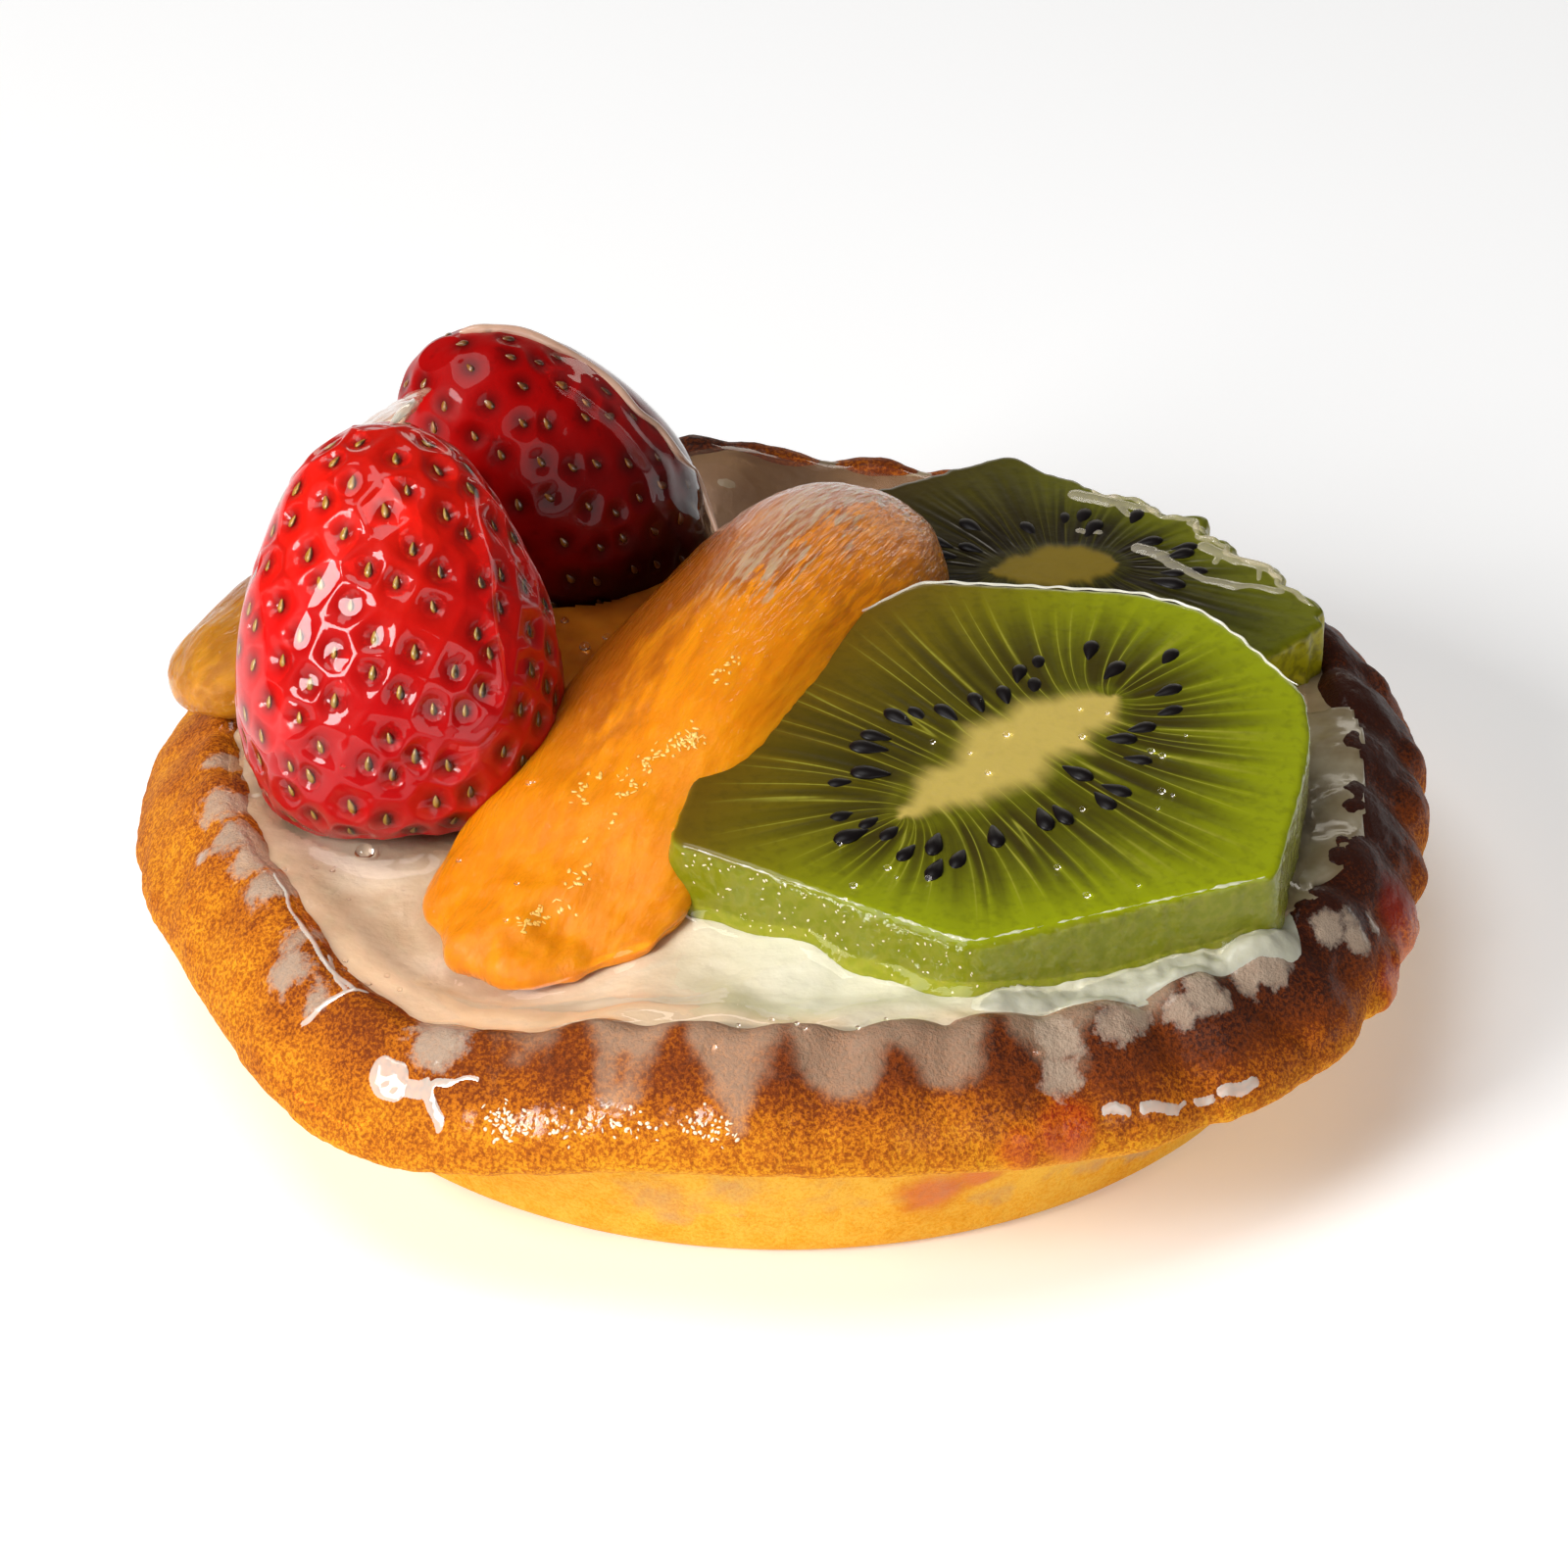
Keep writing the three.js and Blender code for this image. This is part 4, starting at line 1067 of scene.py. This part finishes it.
def front_thickness(at, normal):
    """Thick at the upper left, where it hides the dimples, and down the right edge in a line."""
    shoulder = ramp(normal @ np.array([-0.75, -0.35, 0.55]) + 0.18 * cloud(at, 5, 61), 0.72, 0.98)
    patches = 0.22 * ramp(cloud(at, 4.5, 62) + 0.3 * cloud(at, 1.6, 63), 0.25, 0.6)
    turn = normal @ np.array([0.86, -0.36, 0.36])
    line = np.exp(-(((turn - 0.93 + 0.03 * cloud(at, 4, 64)) / 0.025) ** 2)) * ramp(at[:, 2], 29, 33)
    return np.maximum(np.maximum(0.34 * shoulder, patches), 0.5 * line) - 0.12


def rear_thickness(at, normal):
    """A heavy lip over the right and the back, with a wavy edge, and thin elsewhere."""
    turn = normal @ np.array([0.82, 0.36, 0.45]) + 0.07 * cloud(at, 5, 66)
    turn = turn + 0.10 * np.exp(-(((at[:, 2] - 30) / 2.2) ** 2))
    lip = ramp(turn, 0.60, 0.68)
    bulge = np.exp(-(((turn - 0.70) / 0.07) ** 2))
    return (0.45 * lip + 0.45 * bulge) * (1 - ramp(at[:, 2], 39.5, 41.5)) - 0.12


jelly_coat(FRONT_BERRY, "front_jelly_coat", "strawberry_front", front_thickness)
jelly_coat(REAR_BERRY, "rear_jelly_coat", "strawberry_rear", rear_thickness)

solid_pieces = [pastry, cream, front_berry, rear_berry, front_kiwi, rear_kiwi, long_peach, short_peach]
graph = bpy.context.evaluated_depsgraph_get()
every_surface = [BVHTree.FromObject(piece, graph) for piece in solid_pieces]
bed_surfaces = every_surface[:2]
ABOVE_ALL, NOWHERE = 90, -50


def heights(x, y, surfaces=every_surface):
    """How high the tart's surface is under each place, in millimetres, or NOWHERE beside it."""
    found = np.full(x.shape, float(NOWHERE))
    for k in np.ndindex(x.shape):
        start = Vector((x[k] * MM, y[k] * MM, ABOVE_ALL * MM))
        for surface in surfaces:
            hit = surface.ray_cast(start, Vector((0, 0, -1)))[0]
            if hit and hit.z / MM > found[k]:
                found[k] = hit.z / MM
    return found


def blurred(grid, cells):
    """A square grid of values, averaged over a round-edged window of about that many cells."""
    for _ in range(2):
        for axis in (0, 1):
            window = np.ones(2 * cells + 1) / (2 * cells + 1)
            padded = np.pad(grid, [(cells, cells) if k == axis else (0, 0) for k in (0, 1)], mode="edge")
            grid = np.apply_along_axis(np.convolve, axis, padded, window, "valid")
    return grid


def poured(name, centre, half, step, material, cad_node, surface_at, hidden=1.0, surfaces=every_surface):
    """Jelly over a rectangle. surface_at gives its top from places and the heights below, and there is none
    where that is deeper than hidden inside a piece, or beside the tart."""
    piece = flat_grid(name, int(2 * half[0] / step), int(2 * half[1] / step), 2 * MM)
    at = places(piece)
    at[:, :2] = np.array(centre) + at[:, :2] * np.array(half)
    order = np.lexsort((at[:, 0].round(6), at[:, 1].round(6)))
    shape = (-1, len(np.unique(at[:, 0].round(6))))
    x, y = at[order, 0].reshape(shape), at[order, 1].reshape(shape)
    ground = heights(x, y, surfaces)
    top = surface_at(x, y, ground, step)
    at[order, 2] = top.ravel()
    move_to(piece, at)
    bare, off = np.empty((2, len(at)), bool)
    bare[order] = (top < ground - hidden).ravel()
    off[order] = (ground == NOWHERE).ravel()
    bpy.ops.object.mode_set(mode="EDIT")
    bpy.ops.mesh.select_mode(type="FACE")
    bpy.ops.object.mode_set(mode="OBJECT")
    for face in piece.data.polygons:
        corners = list(face.vertices)
        face.select = bool(bare[corners].all() or off[corners].any())
    bpy.ops.object.mode_set(mode="EDIT")
    bpy.ops.mesh.delete(type="FACE")
    bpy.ops.object.mode_set(mode="OBJECT")
    bpy.ops.object.shade_smooth()
    dress(piece, material, cad_node)
    return piece


def field(x, y, size, seed):
    """cloud() over a grid of places."""
    return cloud(np.stack([x.ravel(), y.ravel(), 0 * x.ravel()], axis=1), size, seed).reshape(x.shape)


def pooled(x, y, ground, step):
    """A thin layer on the cream, with a small meniscus at each fruit's foot."""
    bed = np.maximum(heights(x, y, bed_surfaces), 12)
    fruit = blurred((ground > bed + 0.4).astype(float), round(0.9 / step))
    swollen = np.hypot(x, y) - rim_swell(np.arctan2(y, x), 2) + 0.5 * field(x, y, 4, 74)
    inside = 1 - ramp(swollen, CREAM_EDGE + 0.6, CREAM_EDGE + 2.4)
    return blurred(bed, 1) - 0.3 + 0.5 * inside + 1.0 * ramp(fruit, 0.02, 0.6) * inside


pool = poured("jelly_pool", (-2, 1), (41, 41), 0.42, clear, "pastry_cream", pooled, 0.9)
pool.visible_shadow = False


# Brownish jelly fills the hollow between the two berries and the long wedge, its brown partly painted shade.
def hollow_level(x, y, ground, step):
    rim_fall = ramp(np.hypot((x + 11) / 15, (y - 6) / 15), 0.75, 1.15)
    return 23.2 + 0.07 * y + 0.3 * field(x, y, 5, 71) + 0.1 * field(x, y, 1.6, 72) - 6 * rim_fall


amber_jelly_and_shade, tree, shader = finish("amber_jelly_and_painted_shade", Roughness=0.3, Specular_IOR_Level=0.12)
wet_coat(shader, 1, 0.03, 1.36)
soften(shader, 0.5, 3.0, 1.0, 0.3)
# The murky browns are partly the jelly's amber and partly painted shade of the hollow.
murky = between(tree, noise(tree, 160, 4), 0.3, 0.7)
connect(tree, shader, Base_Color=tint(tree, murky, (0.20, 0.04, 0.004, 1), (0.46, 0.13, 0.008, 1)))
connect(tree, shader, Coat_Normal=film(tree, 0.15))
poured("hollow_jelly_pool", (-11, 6), (17, 17), 0.3, amber_jelly_and_shade, "pastry_cream", hollow_level)


# Cream squeezed out from under the front slice, lying on the pastry as a lumpy white ledge.
def squeezed(x, y, ground, step):
    centre, up = np.array(FRONT_KIWI["centre"]), kiwi_turn(FRONT_KIWI)[:, 2]
    dx, dy = x - centre[0], y - centre[1]
    angle = np.arctan2(dy, dx)
    outside = np.hypot(dx, dy) - kiwi_outline(FRONT_KIWI, angle.ravel()).reshape(x.shape)
    outside = outside - 0.8 * foot_out(FRONT_KIWI, angle)
    underside = centre[2] + (-FRONT_KIWI["thick"] - up[0] * dx - up[1] * dy) / up[2]
    width = (2.4 + 0.6 * field(x, y, 3.5, 81)) * near(angle, -60, 46) ** 0.4 + 0.01
    bulge = np.sqrt(np.clip(1 - (np.maximum(outside, 0) / width) ** 2, 0, 1))
    lumpy = 0.20 * field(x, y, 1.5, 82) + 0.13 * field(x, y, 0.7, 83)
    rise = np.clip(underside + 0.7 - ground, 0.7, 2.0) + lumpy
    top = ground - 0.4 + (rise + 0.4) * bulge * ramp(near(angle, -60, 46), 0, 0.3)
    return np.where(outside < -1.5, ground - 3, top)


ledge = poured(
    "cream_ledge", (22, -27), (25, 17), 0.24, custard, "pastry_cream", squeezed, 0.35, bed_surfaces
)
paint(ledge, "spread", 1.0, 0.0, 0.0)


# Thick jelly over the back: it levels the rim, the cream and the peach's high end into one glassy sheet.
def glassy(x, y, ground, step):
    capped = np.minimum(ground, 24.6 - 0.12 * np.abs(x - 2))
    level = blurred(np.maximum(capped, 17), round(2.2 / step)) + 0.35 + 0.25 * field(x, y, 6, 91)
    place = ramp(y + 1.5 * field(x, y, 4, 92), 17, 20) * (1 - ramp(np.hypot(x, y), 43.5, 45.5))
    place = place * ramp(x, -16, -12) * (1 - ramp(x, 14, 20))
    return np.where(place > 0.3, level, np.minimum(level, ground) - 0.3 - 0.5 * (1 - place))


back_sheet = poured("jelly_at_the_back", (1, 31), (19, 16), 0.35, pink, "pastry_cream", glassy, 0.8)
back_sheet.visible_shadow = False


def strokes(name, material, cad_node, lines, step, thick, surfaces=every_surface):
    """Jelly drawn on the tart in strokes: each (x, y, x, y, half width)."""
    lines = np.array(lines, float)
    reach = lines[:, 4].max() + 1
    low = np.minimum(lines[:, :2], lines[:, 2:4]).min(axis=0) - reach
    high = np.maximum(lines[:, :2], lines[:, 2:4]).max(axis=0) + reach

    def surface(x, y, ground, step):
        rise = np.zeros(x.shape)
        wobble_x, wobble_y = x + 0.25 * field(x, y, 1.6, 95), y + 0.25 * field(x, y, 1.6, 96)
        for ax, ay, bx, by, half in lines:
            dx, dy = bx - ax, by - ay
            share = np.clip(((wobble_x - ax) * dx + (wobble_y - ay) * dy) / (dx * dx + dy * dy), 0, 1)
            away = np.hypot(wobble_x - ax - share * dx, wobble_y - ay - share * dy) / half
            rise = np.maximum(rise, np.sqrt(np.clip(1 - away**2, 0, 1)) * min(1, half))
        return ground - 0.12 + thick * rise

    made = poured(name, (low + high) / 2, (high - low) / 2, step, material, cad_node, surface, 0.1, surfaces)
    made.visible_shadow = False


# The blob, the shine and the lines at the cream's edge are glaze painted near white as highlight.
strokes("rim_blob", glaze_glint, "pastry_case", [
    (-28.0, -38.3, -27.0, -38.8, 0.95), (-26.9, -38.9, -25.2, -40.1, 0.52), (-25.2, -40.1, -24.6, -41.2, 0.4),
    (-24.6, -41.2, -23.9, -42.2, 0.42), (-25.2, -40.2, -22.9, -40.9, 0.32), (-22.9, -40.9, -21.3, -41.2, 0.3),
    (-22.9, -41.2, -21.9, -42.3, 0.22), (-21.9, -42.3, -20.6, -42.7, 0.2),
], step=0.12, thick=0.45)
strokes("rim_shine", glaze_glint, "pastry_case", [
    (22.3, -42.1, 24.0, -41.3, 0.24), (24.9, -40.8, 27.2, -39.6, 0.30), (27.2, -39.6, 28.0, -39.0, 0.18),
    (28.8, -38.7, 30.0, -37.9, 0.2), (30.5, -37.5, 33.0, -35.9, 0.26),
], step=0.14, thick=1.0)
strokes("cream_edge_lines", glaze_glint, "pastry_cream", [
    (-36.6, -19.0, -34.8, -23.8, 0.2), (-34.8, -23.8, -32.6, -28.4, 0.24), (-32.6, -28.4, -30.2, -31.8, 0.26),
    (-32.0, -28.0, -31.6, -30.4, 0.2), (-31.6, -30.4, -30.9, -31.8, 0.2), (-33.9, -32.2, -31.6, -32.2, 0.2),
    (-31.6, -32.2, -29.2, -31.6, 0.2),
], step=0.13, thick=1.2, surfaces=bed_surfaces)


def on_berry(berry, spots, out=0.2):
    """Points on a berry's skin, from angles round it and steps up it."""
    turns, steps = np.radians([spot[0] for spot in spots]), np.array([spot[1] for spot in spots])
    skin = berry_surface(berry, turns, steps)
    middle = np.array(berry["hull"]) + np.outer(steps, np.array(berry["tip"]) - np.array(berry["hull"]))
    away = skin - middle
    return [tuple(point) for point in skin + out * away / np.linalg.norm(away, axis=1)[:, None]]


def rope(name, material, cad_node, points, radius, broken=False):
    """A round thread of jelly through the given points, thinner at its ends, or broken into dashes."""
    curve = bpy.data.curves.new(name, "CURVE")
    curve.dimensions = "3D"
    curve.bevel_depth = radius * MM
    curve.bevel_resolution = 3
    curve.resolution_u = 6
    line = curve.splines.new("NURBS")
    line.points.add(len(points) - 1)
    line.use_endpoint_u = True
    line.order_u = 4
    for k, (spot, point) in enumerate(zip(line.points, points)):
        spot.co = (*(np.array(point) * MM), 1)
        if k in (0, len(points) - 1):
            spot.radius = 0.2
        elif broken:
            spot.radius = max(0.04, 1.1 * math.sin(1.3 * k + 2 * math.sin(0.7 * k)))
        else:
            spot.radius = 0.8 + 0.35 * math.sin(2.3 * k)
    made = bpy.data.objects.new(name, curve)
    bpy.context.scene.collection.objects.link(made)
    pick(made)
    bpy.ops.object.convert(target="MESH")
    made = bpy.context.object
    bpy.ops.object.shade_smooth()
    dress(made, material, cad_node)
    made.visible_shadow = False


def along_kiwi(kiwi, start, end, out, height, count, sway=0.25):
    """Points round a slice between two angles, at a distance outside its edge and a height above its face."""
    angles = np.radians(np.linspace(start, end, count))
    radius = kiwi_outline(kiwi, angles) + out + sway * np.sin(3.1 * np.arange(count))
    radius = radius - foot_out(kiwi, angles) * height / kiwi["thick"]
    lift = height + 0.3 * sway * np.cos(2.3 * np.arange(count))
    local = np.stack([radius * np.cos(angles), radius * np.sin(angles), lift], axis=1)
    return local @ kiwi_turn(kiwi).T + np.array(kiwi["centre"])


for name, path, radius, broken in (
    ("kiwi_back_bead", along_kiwi(FRONT_KIWI, 128, 22, -0.25, 0.02, 40), 0.12, False),
    ("kiwi_foot_bead", along_kiwi(FRONT_KIWI, 203, 262, 0.25, -5.9, 26, 0.1), 0.14, False),
    ("kiwi_front_bead", along_kiwi(FRONT_KIWI, 206, 326, -0.2, -0.12, 110, 0.12), 0.15, True),
):
    rope(name, glaze_glint, "kiwi_slice_front", path, radius, broken)
path = along_kiwi(REAR_KIWI, 70, -8, -0.7, 0.0, 30, 0.6)
rope("rear_kiwi_bead", cloudy_and_sheen, "kiwi_slice_rear", path, 0.3)

# A lip hangs on the rear berry's right side, a bead runs down the front berry's and a web joins the two.
# The lip's pale pink is a painted reflection of the sky.
rope("rear_berry_lip", milky_and_sheen, "strawberry_rear", [
    *on_berry(REAR_BERRY, [
        (48, 0.97), (38, 0.93), (29, 0.87), (25, 0.80), (19, 0.72), (18, 0.63), (8, 0.55), (-2, 0.50),
        (5, 0.44), (-5, 0.38), (5, 0.30), (16, 0.26),
    ]),
    (-4.6, 18.8, 25.6),
], 0.5)
rope("front_berry_bead", clear, "strawberry_front", [
    (-25.6, 1.2, 44.2), (-24.3, -0.6, 43.6), (-22.5, -2.7, 41.6), (-20.7, -3.9, 39.1), (-19.0, -4.4, 36.2),
    (-17.3, -3.6, 33.0), (-16.6, -3.4, 31.6), (-17.4, -4.4, 31.0),
], 0.22)


def web_surface(angle, share):
    """A lens-shaped band from the front berry's tip to the rear one's side, sagging in between."""
    line = [
        (-29.4, 1.6, 43.2), (-29.4, 5.5, 43.0), (-29.1, 10.0, 41.5), (-28.6, 14.5, 40.0), (-27.2, 18.5, 39.2)
    ]
    full = np.sin(np.pi * np.clip(share, 0, 1)) ** 0.3 * (1 + 0.12 * ripple(angle, 14 * share, 3))
    width, thickness = np.array([2.2, 0, 1.3]), np.array([-0.3, 0, 0.5])
    lens = np.cos(angle)[:, None] * width + np.sin(angle)[:, None] * thickness
    return spline(line, share) + lens * full[:, None]


web = wrapped_sheet("berry_web", 40, 40, web_surface)
push(web, 0.2 * cloud(places(web), 1.8, 121) + 0.1 * cloud(places(web), 0.8, 122))
dress(web, milky_and_sheen, "strawberry_front")
web.visible_shadow = False
rope("web_shred", glaze_glint, "strawberry_front", [
    (-28.6, 3.0, 44.6), (-27.8, 5.0, 44.7), (-27.2, 7.0, 44.3), (-26.9, 9.5, 43.2), (-27.4, 12.0, 42.0),
], 0.5)
strokes("rear_kiwi_glaze", cloudy_and_sheen, "kiwi_slice_rear", [
    (22.5, 27.4, 25.0, 26.2, 0.75), (25.0, 26.2, 29.6, 25.2, 0.55), (25.6, 26.0, 26.4, 24.6, 0.4),
    (22.6, 22.6, 23.8, 22.2, 0.4), (27.1, 20.2, 28.6, 19.2, 0.75), (28.6, 19.2, 29.8, 17.6, 0.6),
    (29.8, 17.6, 31.6, 16.0, 0.5), (31.6, 16.0, 34.0, 15.3, 0.55), (34.0, 15.3, 37.4, 14.6, 0.5),
    (32.0, 20.4, 34.4, 18.4, 0.65), (34.4, 18.4, 36.6, 17.4, 0.55), (36.6, 17.4, 38.6, 15.0, 0.5),
    (33.0, 19.6, 32.6, 18.2, 0.4), (36.0, 17.6, 35.8, 16.2, 0.35), (31.0, 23.6, 33.8, 21.6, 0.45),
], step=0.16, thick=0.5)


# Dull jelly has levelled the crimps beside the front slice, grey-beige over the browned crust.
def levelled(x, y, ground, step):
    radius, angle = np.hypot(x, y), np.arctan2(y, x)
    level = blurred(np.maximum(ground, 16.8), round(1.3 / step)) + 0.5
    level = level + 0.12 * field(x, y, 1.6, 111) + 0.06 * field(x, y, 0.7, 112)
    place = near(angle, -17, 33) ** 0.5 * (1 - ramp(radius + 0.9 * field(x, y, 2.5, 113), 42.4, 44.2))
    return np.where(place > 0.45, level, ground - 1)


dull, tree, shader = finish("dull_jelly", Roughness=0.35, Specular_IOR_Level=0.15)
wet_coat(shader, 0.6, 0.12, 1.33)
patches = between(tree, noise(tree, 260, 4), 0.35, 0.68)
connect(tree, shader, Base_Color=tint(tree, patches, (0.26, 0.19, 0.10, 1), (0.42, 0.35, 0.23, 1)))
connect(tree, shader, Coat_Normal=film(tree, 0.12))
poured("jelly_at_the_right", (38, -10), (8, 17), 0.26, dull, "pastry_case", levelled, 0.5, bed_surfaces)


def flecks(name, material, cad_node, spots, size, seed, shape=(1.5, 0.9, 0.5)):
    """Painted glints: small bright specks on the tart's surface, nearest to each of the given places."""
    chance = np.random.default_rng(seed)
    copies = []
    for spot in spots:
        hits = [surface.find_nearest(Vector(np.array(spot) * MM)) for surface in every_surface]
        place, normal, _, _ = min(hits, key=lambda hit: hit[3])
        scale = size * chance.uniform(0.5, 1.4, 3) * np.array(shape)
        copies.append((np.array(place) / MM, standing_on(np.array(normal), chance.normal(size=3)), scale))
    dress(repeated(name, bead(6, 4), copies), material, cad_node)


def scattered(line, count, spread, seed):
    """Places scattered in clusters beside a line of points."""
    chance = np.random.default_rng(seed)
    clusters = chance.uniform(0, 1, max(3, count // 7))
    share = np.clip(chance.choice(clusters, count) + 0.03 * chance.normal(size=count), 0, 1)
    return spline(line, share) + chance.normal(0, 1, (count, 3)) * spread


def kiwi_side(kiwi, start, end, count, seed):
    """Places scattered over a slice's side between two angles, more of them near its face."""
    chance = np.random.default_rng(seed)
    turns = np.radians(chance.uniform(start, end, count))
    below = -0.4 - 4.6 * chance.uniform(0, 1, count) ** 1.8
    out = kiwi_outline(kiwi, turns) - foot_out(kiwi, turns) * below / kiwi["thick"]
    flat = np.stack([out * np.cos(turns), out * np.sin(turns), below], axis=1)
    return flat @ kiwi_turn(kiwi).T + np.array(kiwi["centre"])


# Painted glints: specks low on the rim, on the front slice's side and, golden, on the peach.
painted_glint = finish("painted_glint_specks", Base_Color=(0.93, 0.80, 0.56, 1), Roughness=0.3, Coat_Weight=1)[0]
golden_glint, tree, shader = finish("golden_painted_glint", Roughness=0.25, Coat_Weight=1, Coat_Roughness=0.05)
connect(tree, shader, Base_Color=tint(tree, noise(tree, 1500, 2), (1.0, 0.42, 0.02, 1), (1.0, 0.72, 0.22, 1)))
rim_line = [(-19.6, -43.2, 14.8), (-17.6, -44.1, 15.0), (-10.8, -45.3, 16.2), (-4.0, -46.6, 16.3)]
peach_low = [(-19.5, -27.8, 20.2), (-16.8, -26.4, 21.3), (-14.6, -23.5, 22.7)]
peach_high = [(-14.6, -23.5, 22.7), (-12.0, -18.9, 25.1), (-9.8, -14.6, 27.0), (-5.9, -12.7, 27.8)]
peach_lines = [
    (peach_low, 42, (0.6, 0.4, 0.1), 33),
    (peach_high, 90, (0.6, 0.45, 0.1), 34),
    ([(-15.5, -18, 25.8), (-13.5, -14.8, 25.8)], 16, (0.3, 0.6, 0.1), 35),
    ([(-4.8, -8.4, 29.6), (-3.6, -5.6, 29.9)], 16, (0.4, 0.4, 0.1), 36),
]
rim_spots = scattered(rim_line, 170, (0.6, 0.4, 0.55), 31)
peach_spots = np.concatenate([scattered(*line) for line in peach_lines])
kiwi_spots = kiwi_side(FRONT_KIWI, 204, 266, 110, 38)
flecks("rim_sparkle", painted_glint, "pastry_case", rim_spots, 0.24, 32)
flecks("peach_sparkle", golden_glint, "peach_wedge_long", peach_spots, 0.27, 37, (1.8, 0.9, 0.4))
flecks("kiwi_sparkle", painted_glint, "kiwi_slice_front", kiwi_spots, 0.15, 39)

# Air bubbles caught in the jelly: a big one by the front berry, four in the amber pool, and small ones over
# cream, kiwi and rim. Each is a place and a diameter, and the first few have a dark ring as painted
# reflection.
bubble_spots = [
    (-30.4, -13.2, 1.35), (-12.4, 4.6, 0.9), (-14.8, 6.5, 0.8), (-13.2, 8.0, 0.6), (-16.4, 10.5, 0.6)
]
BUBBLE_FIELDS = [  # the limits across and along, those of the diameter, and how many
    ((-36, -17), (-31, -14), (0.22, 0.5), 20),
    ((2, 30), (-31, -6), (0.25, 0.6), 26),
    ((-8, 24), (-44, -38), (0.25, 0.5), 12),
]
EDGED_BUBBLES, AMBER_LEVEL = 14, 23.9
chance = np.random.default_rng(12)
for across, along, size, count in BUBBLE_FIELDS:
    x, y, s = chance.uniform(*across, count), chance.uniform(*along, count), chance.uniform(*size, count)
    bubble_spots += list(zip(x, y, s))
bubble_spots = np.array(bubble_spots)
level = heights(bubble_spots[:, 0], bubble_spots[:, 1])
level[:1] = heights(bubble_spots[:1, 0], bubble_spots[:1, 1], bed_surfaces)
level[1:5] = AMBER_LEVEL
copies = [
    (np.array([x, y, z + 0.16 + 0.2 * s]), np.eye(3), np.array([s, s, 0.8 * s]))
    for (x, y, s), z in zip(bubble_spots, level) if z > 12
]
bubbles = repeated("bubbles", bead(16, 12), copies)
dress(bubbles, clear, "pastry_cream")
bubbles.visible_shadow = False
# Painted reflection: a dark red-brown ring round each of the first bubbles stands for the fruit mirrored in
# its edge.
bubble_edge = finish("bubble_edge", Base_Color=(0.24, 0.09, 0.04, 1), Roughness=0.1, Coat_Weight=1)[0]
bpy.ops.object.select_all(action="DESELECT")
bpy.ops.mesh.primitive_torus_add(
    major_segments=20, minor_segments=6, major_radius=0.5 * MM, minor_radius=0.055 * MM
)
edges = [
    (centre - np.array([0, 0, 0.1 * size[0]]), turn, size * [1, 1, 1.4])
    for centre, turn, size in copies[:EDGED_BUBBLES]
]
dress(repeated("bubble_edges", bpy.context.object, edges), bubble_edge, "pastry_cream")


# ---- Floor, light and camera ---------------------------------------------------------------------------
bpy.ops.mesh.primitive_plane_add(size=6)
floor = bpy.context.object
floor.name = "floor"
paper, tree, shader = finish("pale_floor", Base_Color=(0.96, 0.96, 0.96, 1), Roughness=0.9)
shader.inputs["Emission Color"].default_value = (1, 1, 1, 1)
shader.inputs["Emission Strength"].default_value = 0.2
floor.data.materials.append(paper)


def softbox(name, direction, distance, width, height, power, colour=(1, 1, 1)):
    """A lamp of that width and height at a distance in that direction, facing the tart. Metres and watts."""
    away = Vector(direction).normalized()
    bpy.ops.object.light_add(type="AREA", location=away * distance + Vector((0, 0, 0.02)))
    lamp = bpy.context.object
    lamp.name = name
    lamp.rotation_euler = away.to_track_quat("Z", "Y").to_euler()
    lamp.data.shape = "RECTANGLE"
    lamp.data.size, lamp.data.size_y = width, height
    lamp.data.energy = power
    lamp.data.color = colour


softbox("window", (-0.67, -0.59, 0.50), 0.7, 0.26, 0.26, 4.6)
softbox("front_fill", (0.5, -0.85, 0.26), 0.9, 0.6, 0.4, 1.6)
softbox("overhead", (-0.25, -0.12, 1), 0.9, 0.5, 0.5, 3.4)
softbox("back_sky", (0.05, 0.97, 0.26), 0.9, 0.8, 0.22, 1.1, (1, 0.93, 0.82))
world = bpy.data.worlds.new("soft_room")
bpy.context.scene.world = world
world.use_nodes = True
world.node_tree.nodes["Background"].inputs[0].default_value = (1, 1, 1, 1)
world.node_tree.nodes["Background"].inputs[1].default_value = 0.07

CAMERA_DISTANCE, CAMERA_ELEVATION, AIM_HEIGHT = 560, 31, 16.2
bpy.ops.object.camera_add()
camera = bpy.context.object
lift = math.radians(CAMERA_ELEVATION)
back = Vector((0, -math.cos(lift), math.sin(lift)))
camera.location = (Vector((0, 0, AIM_HEIGHT)) + back * CAMERA_DISTANCE) * MM
camera.rotation_euler = back.to_track_quat("Z", "Y").to_euler()
camera.data.lens = 173.5
camera.data.sensor_width = 36
bpy.context.scene.camera = camera
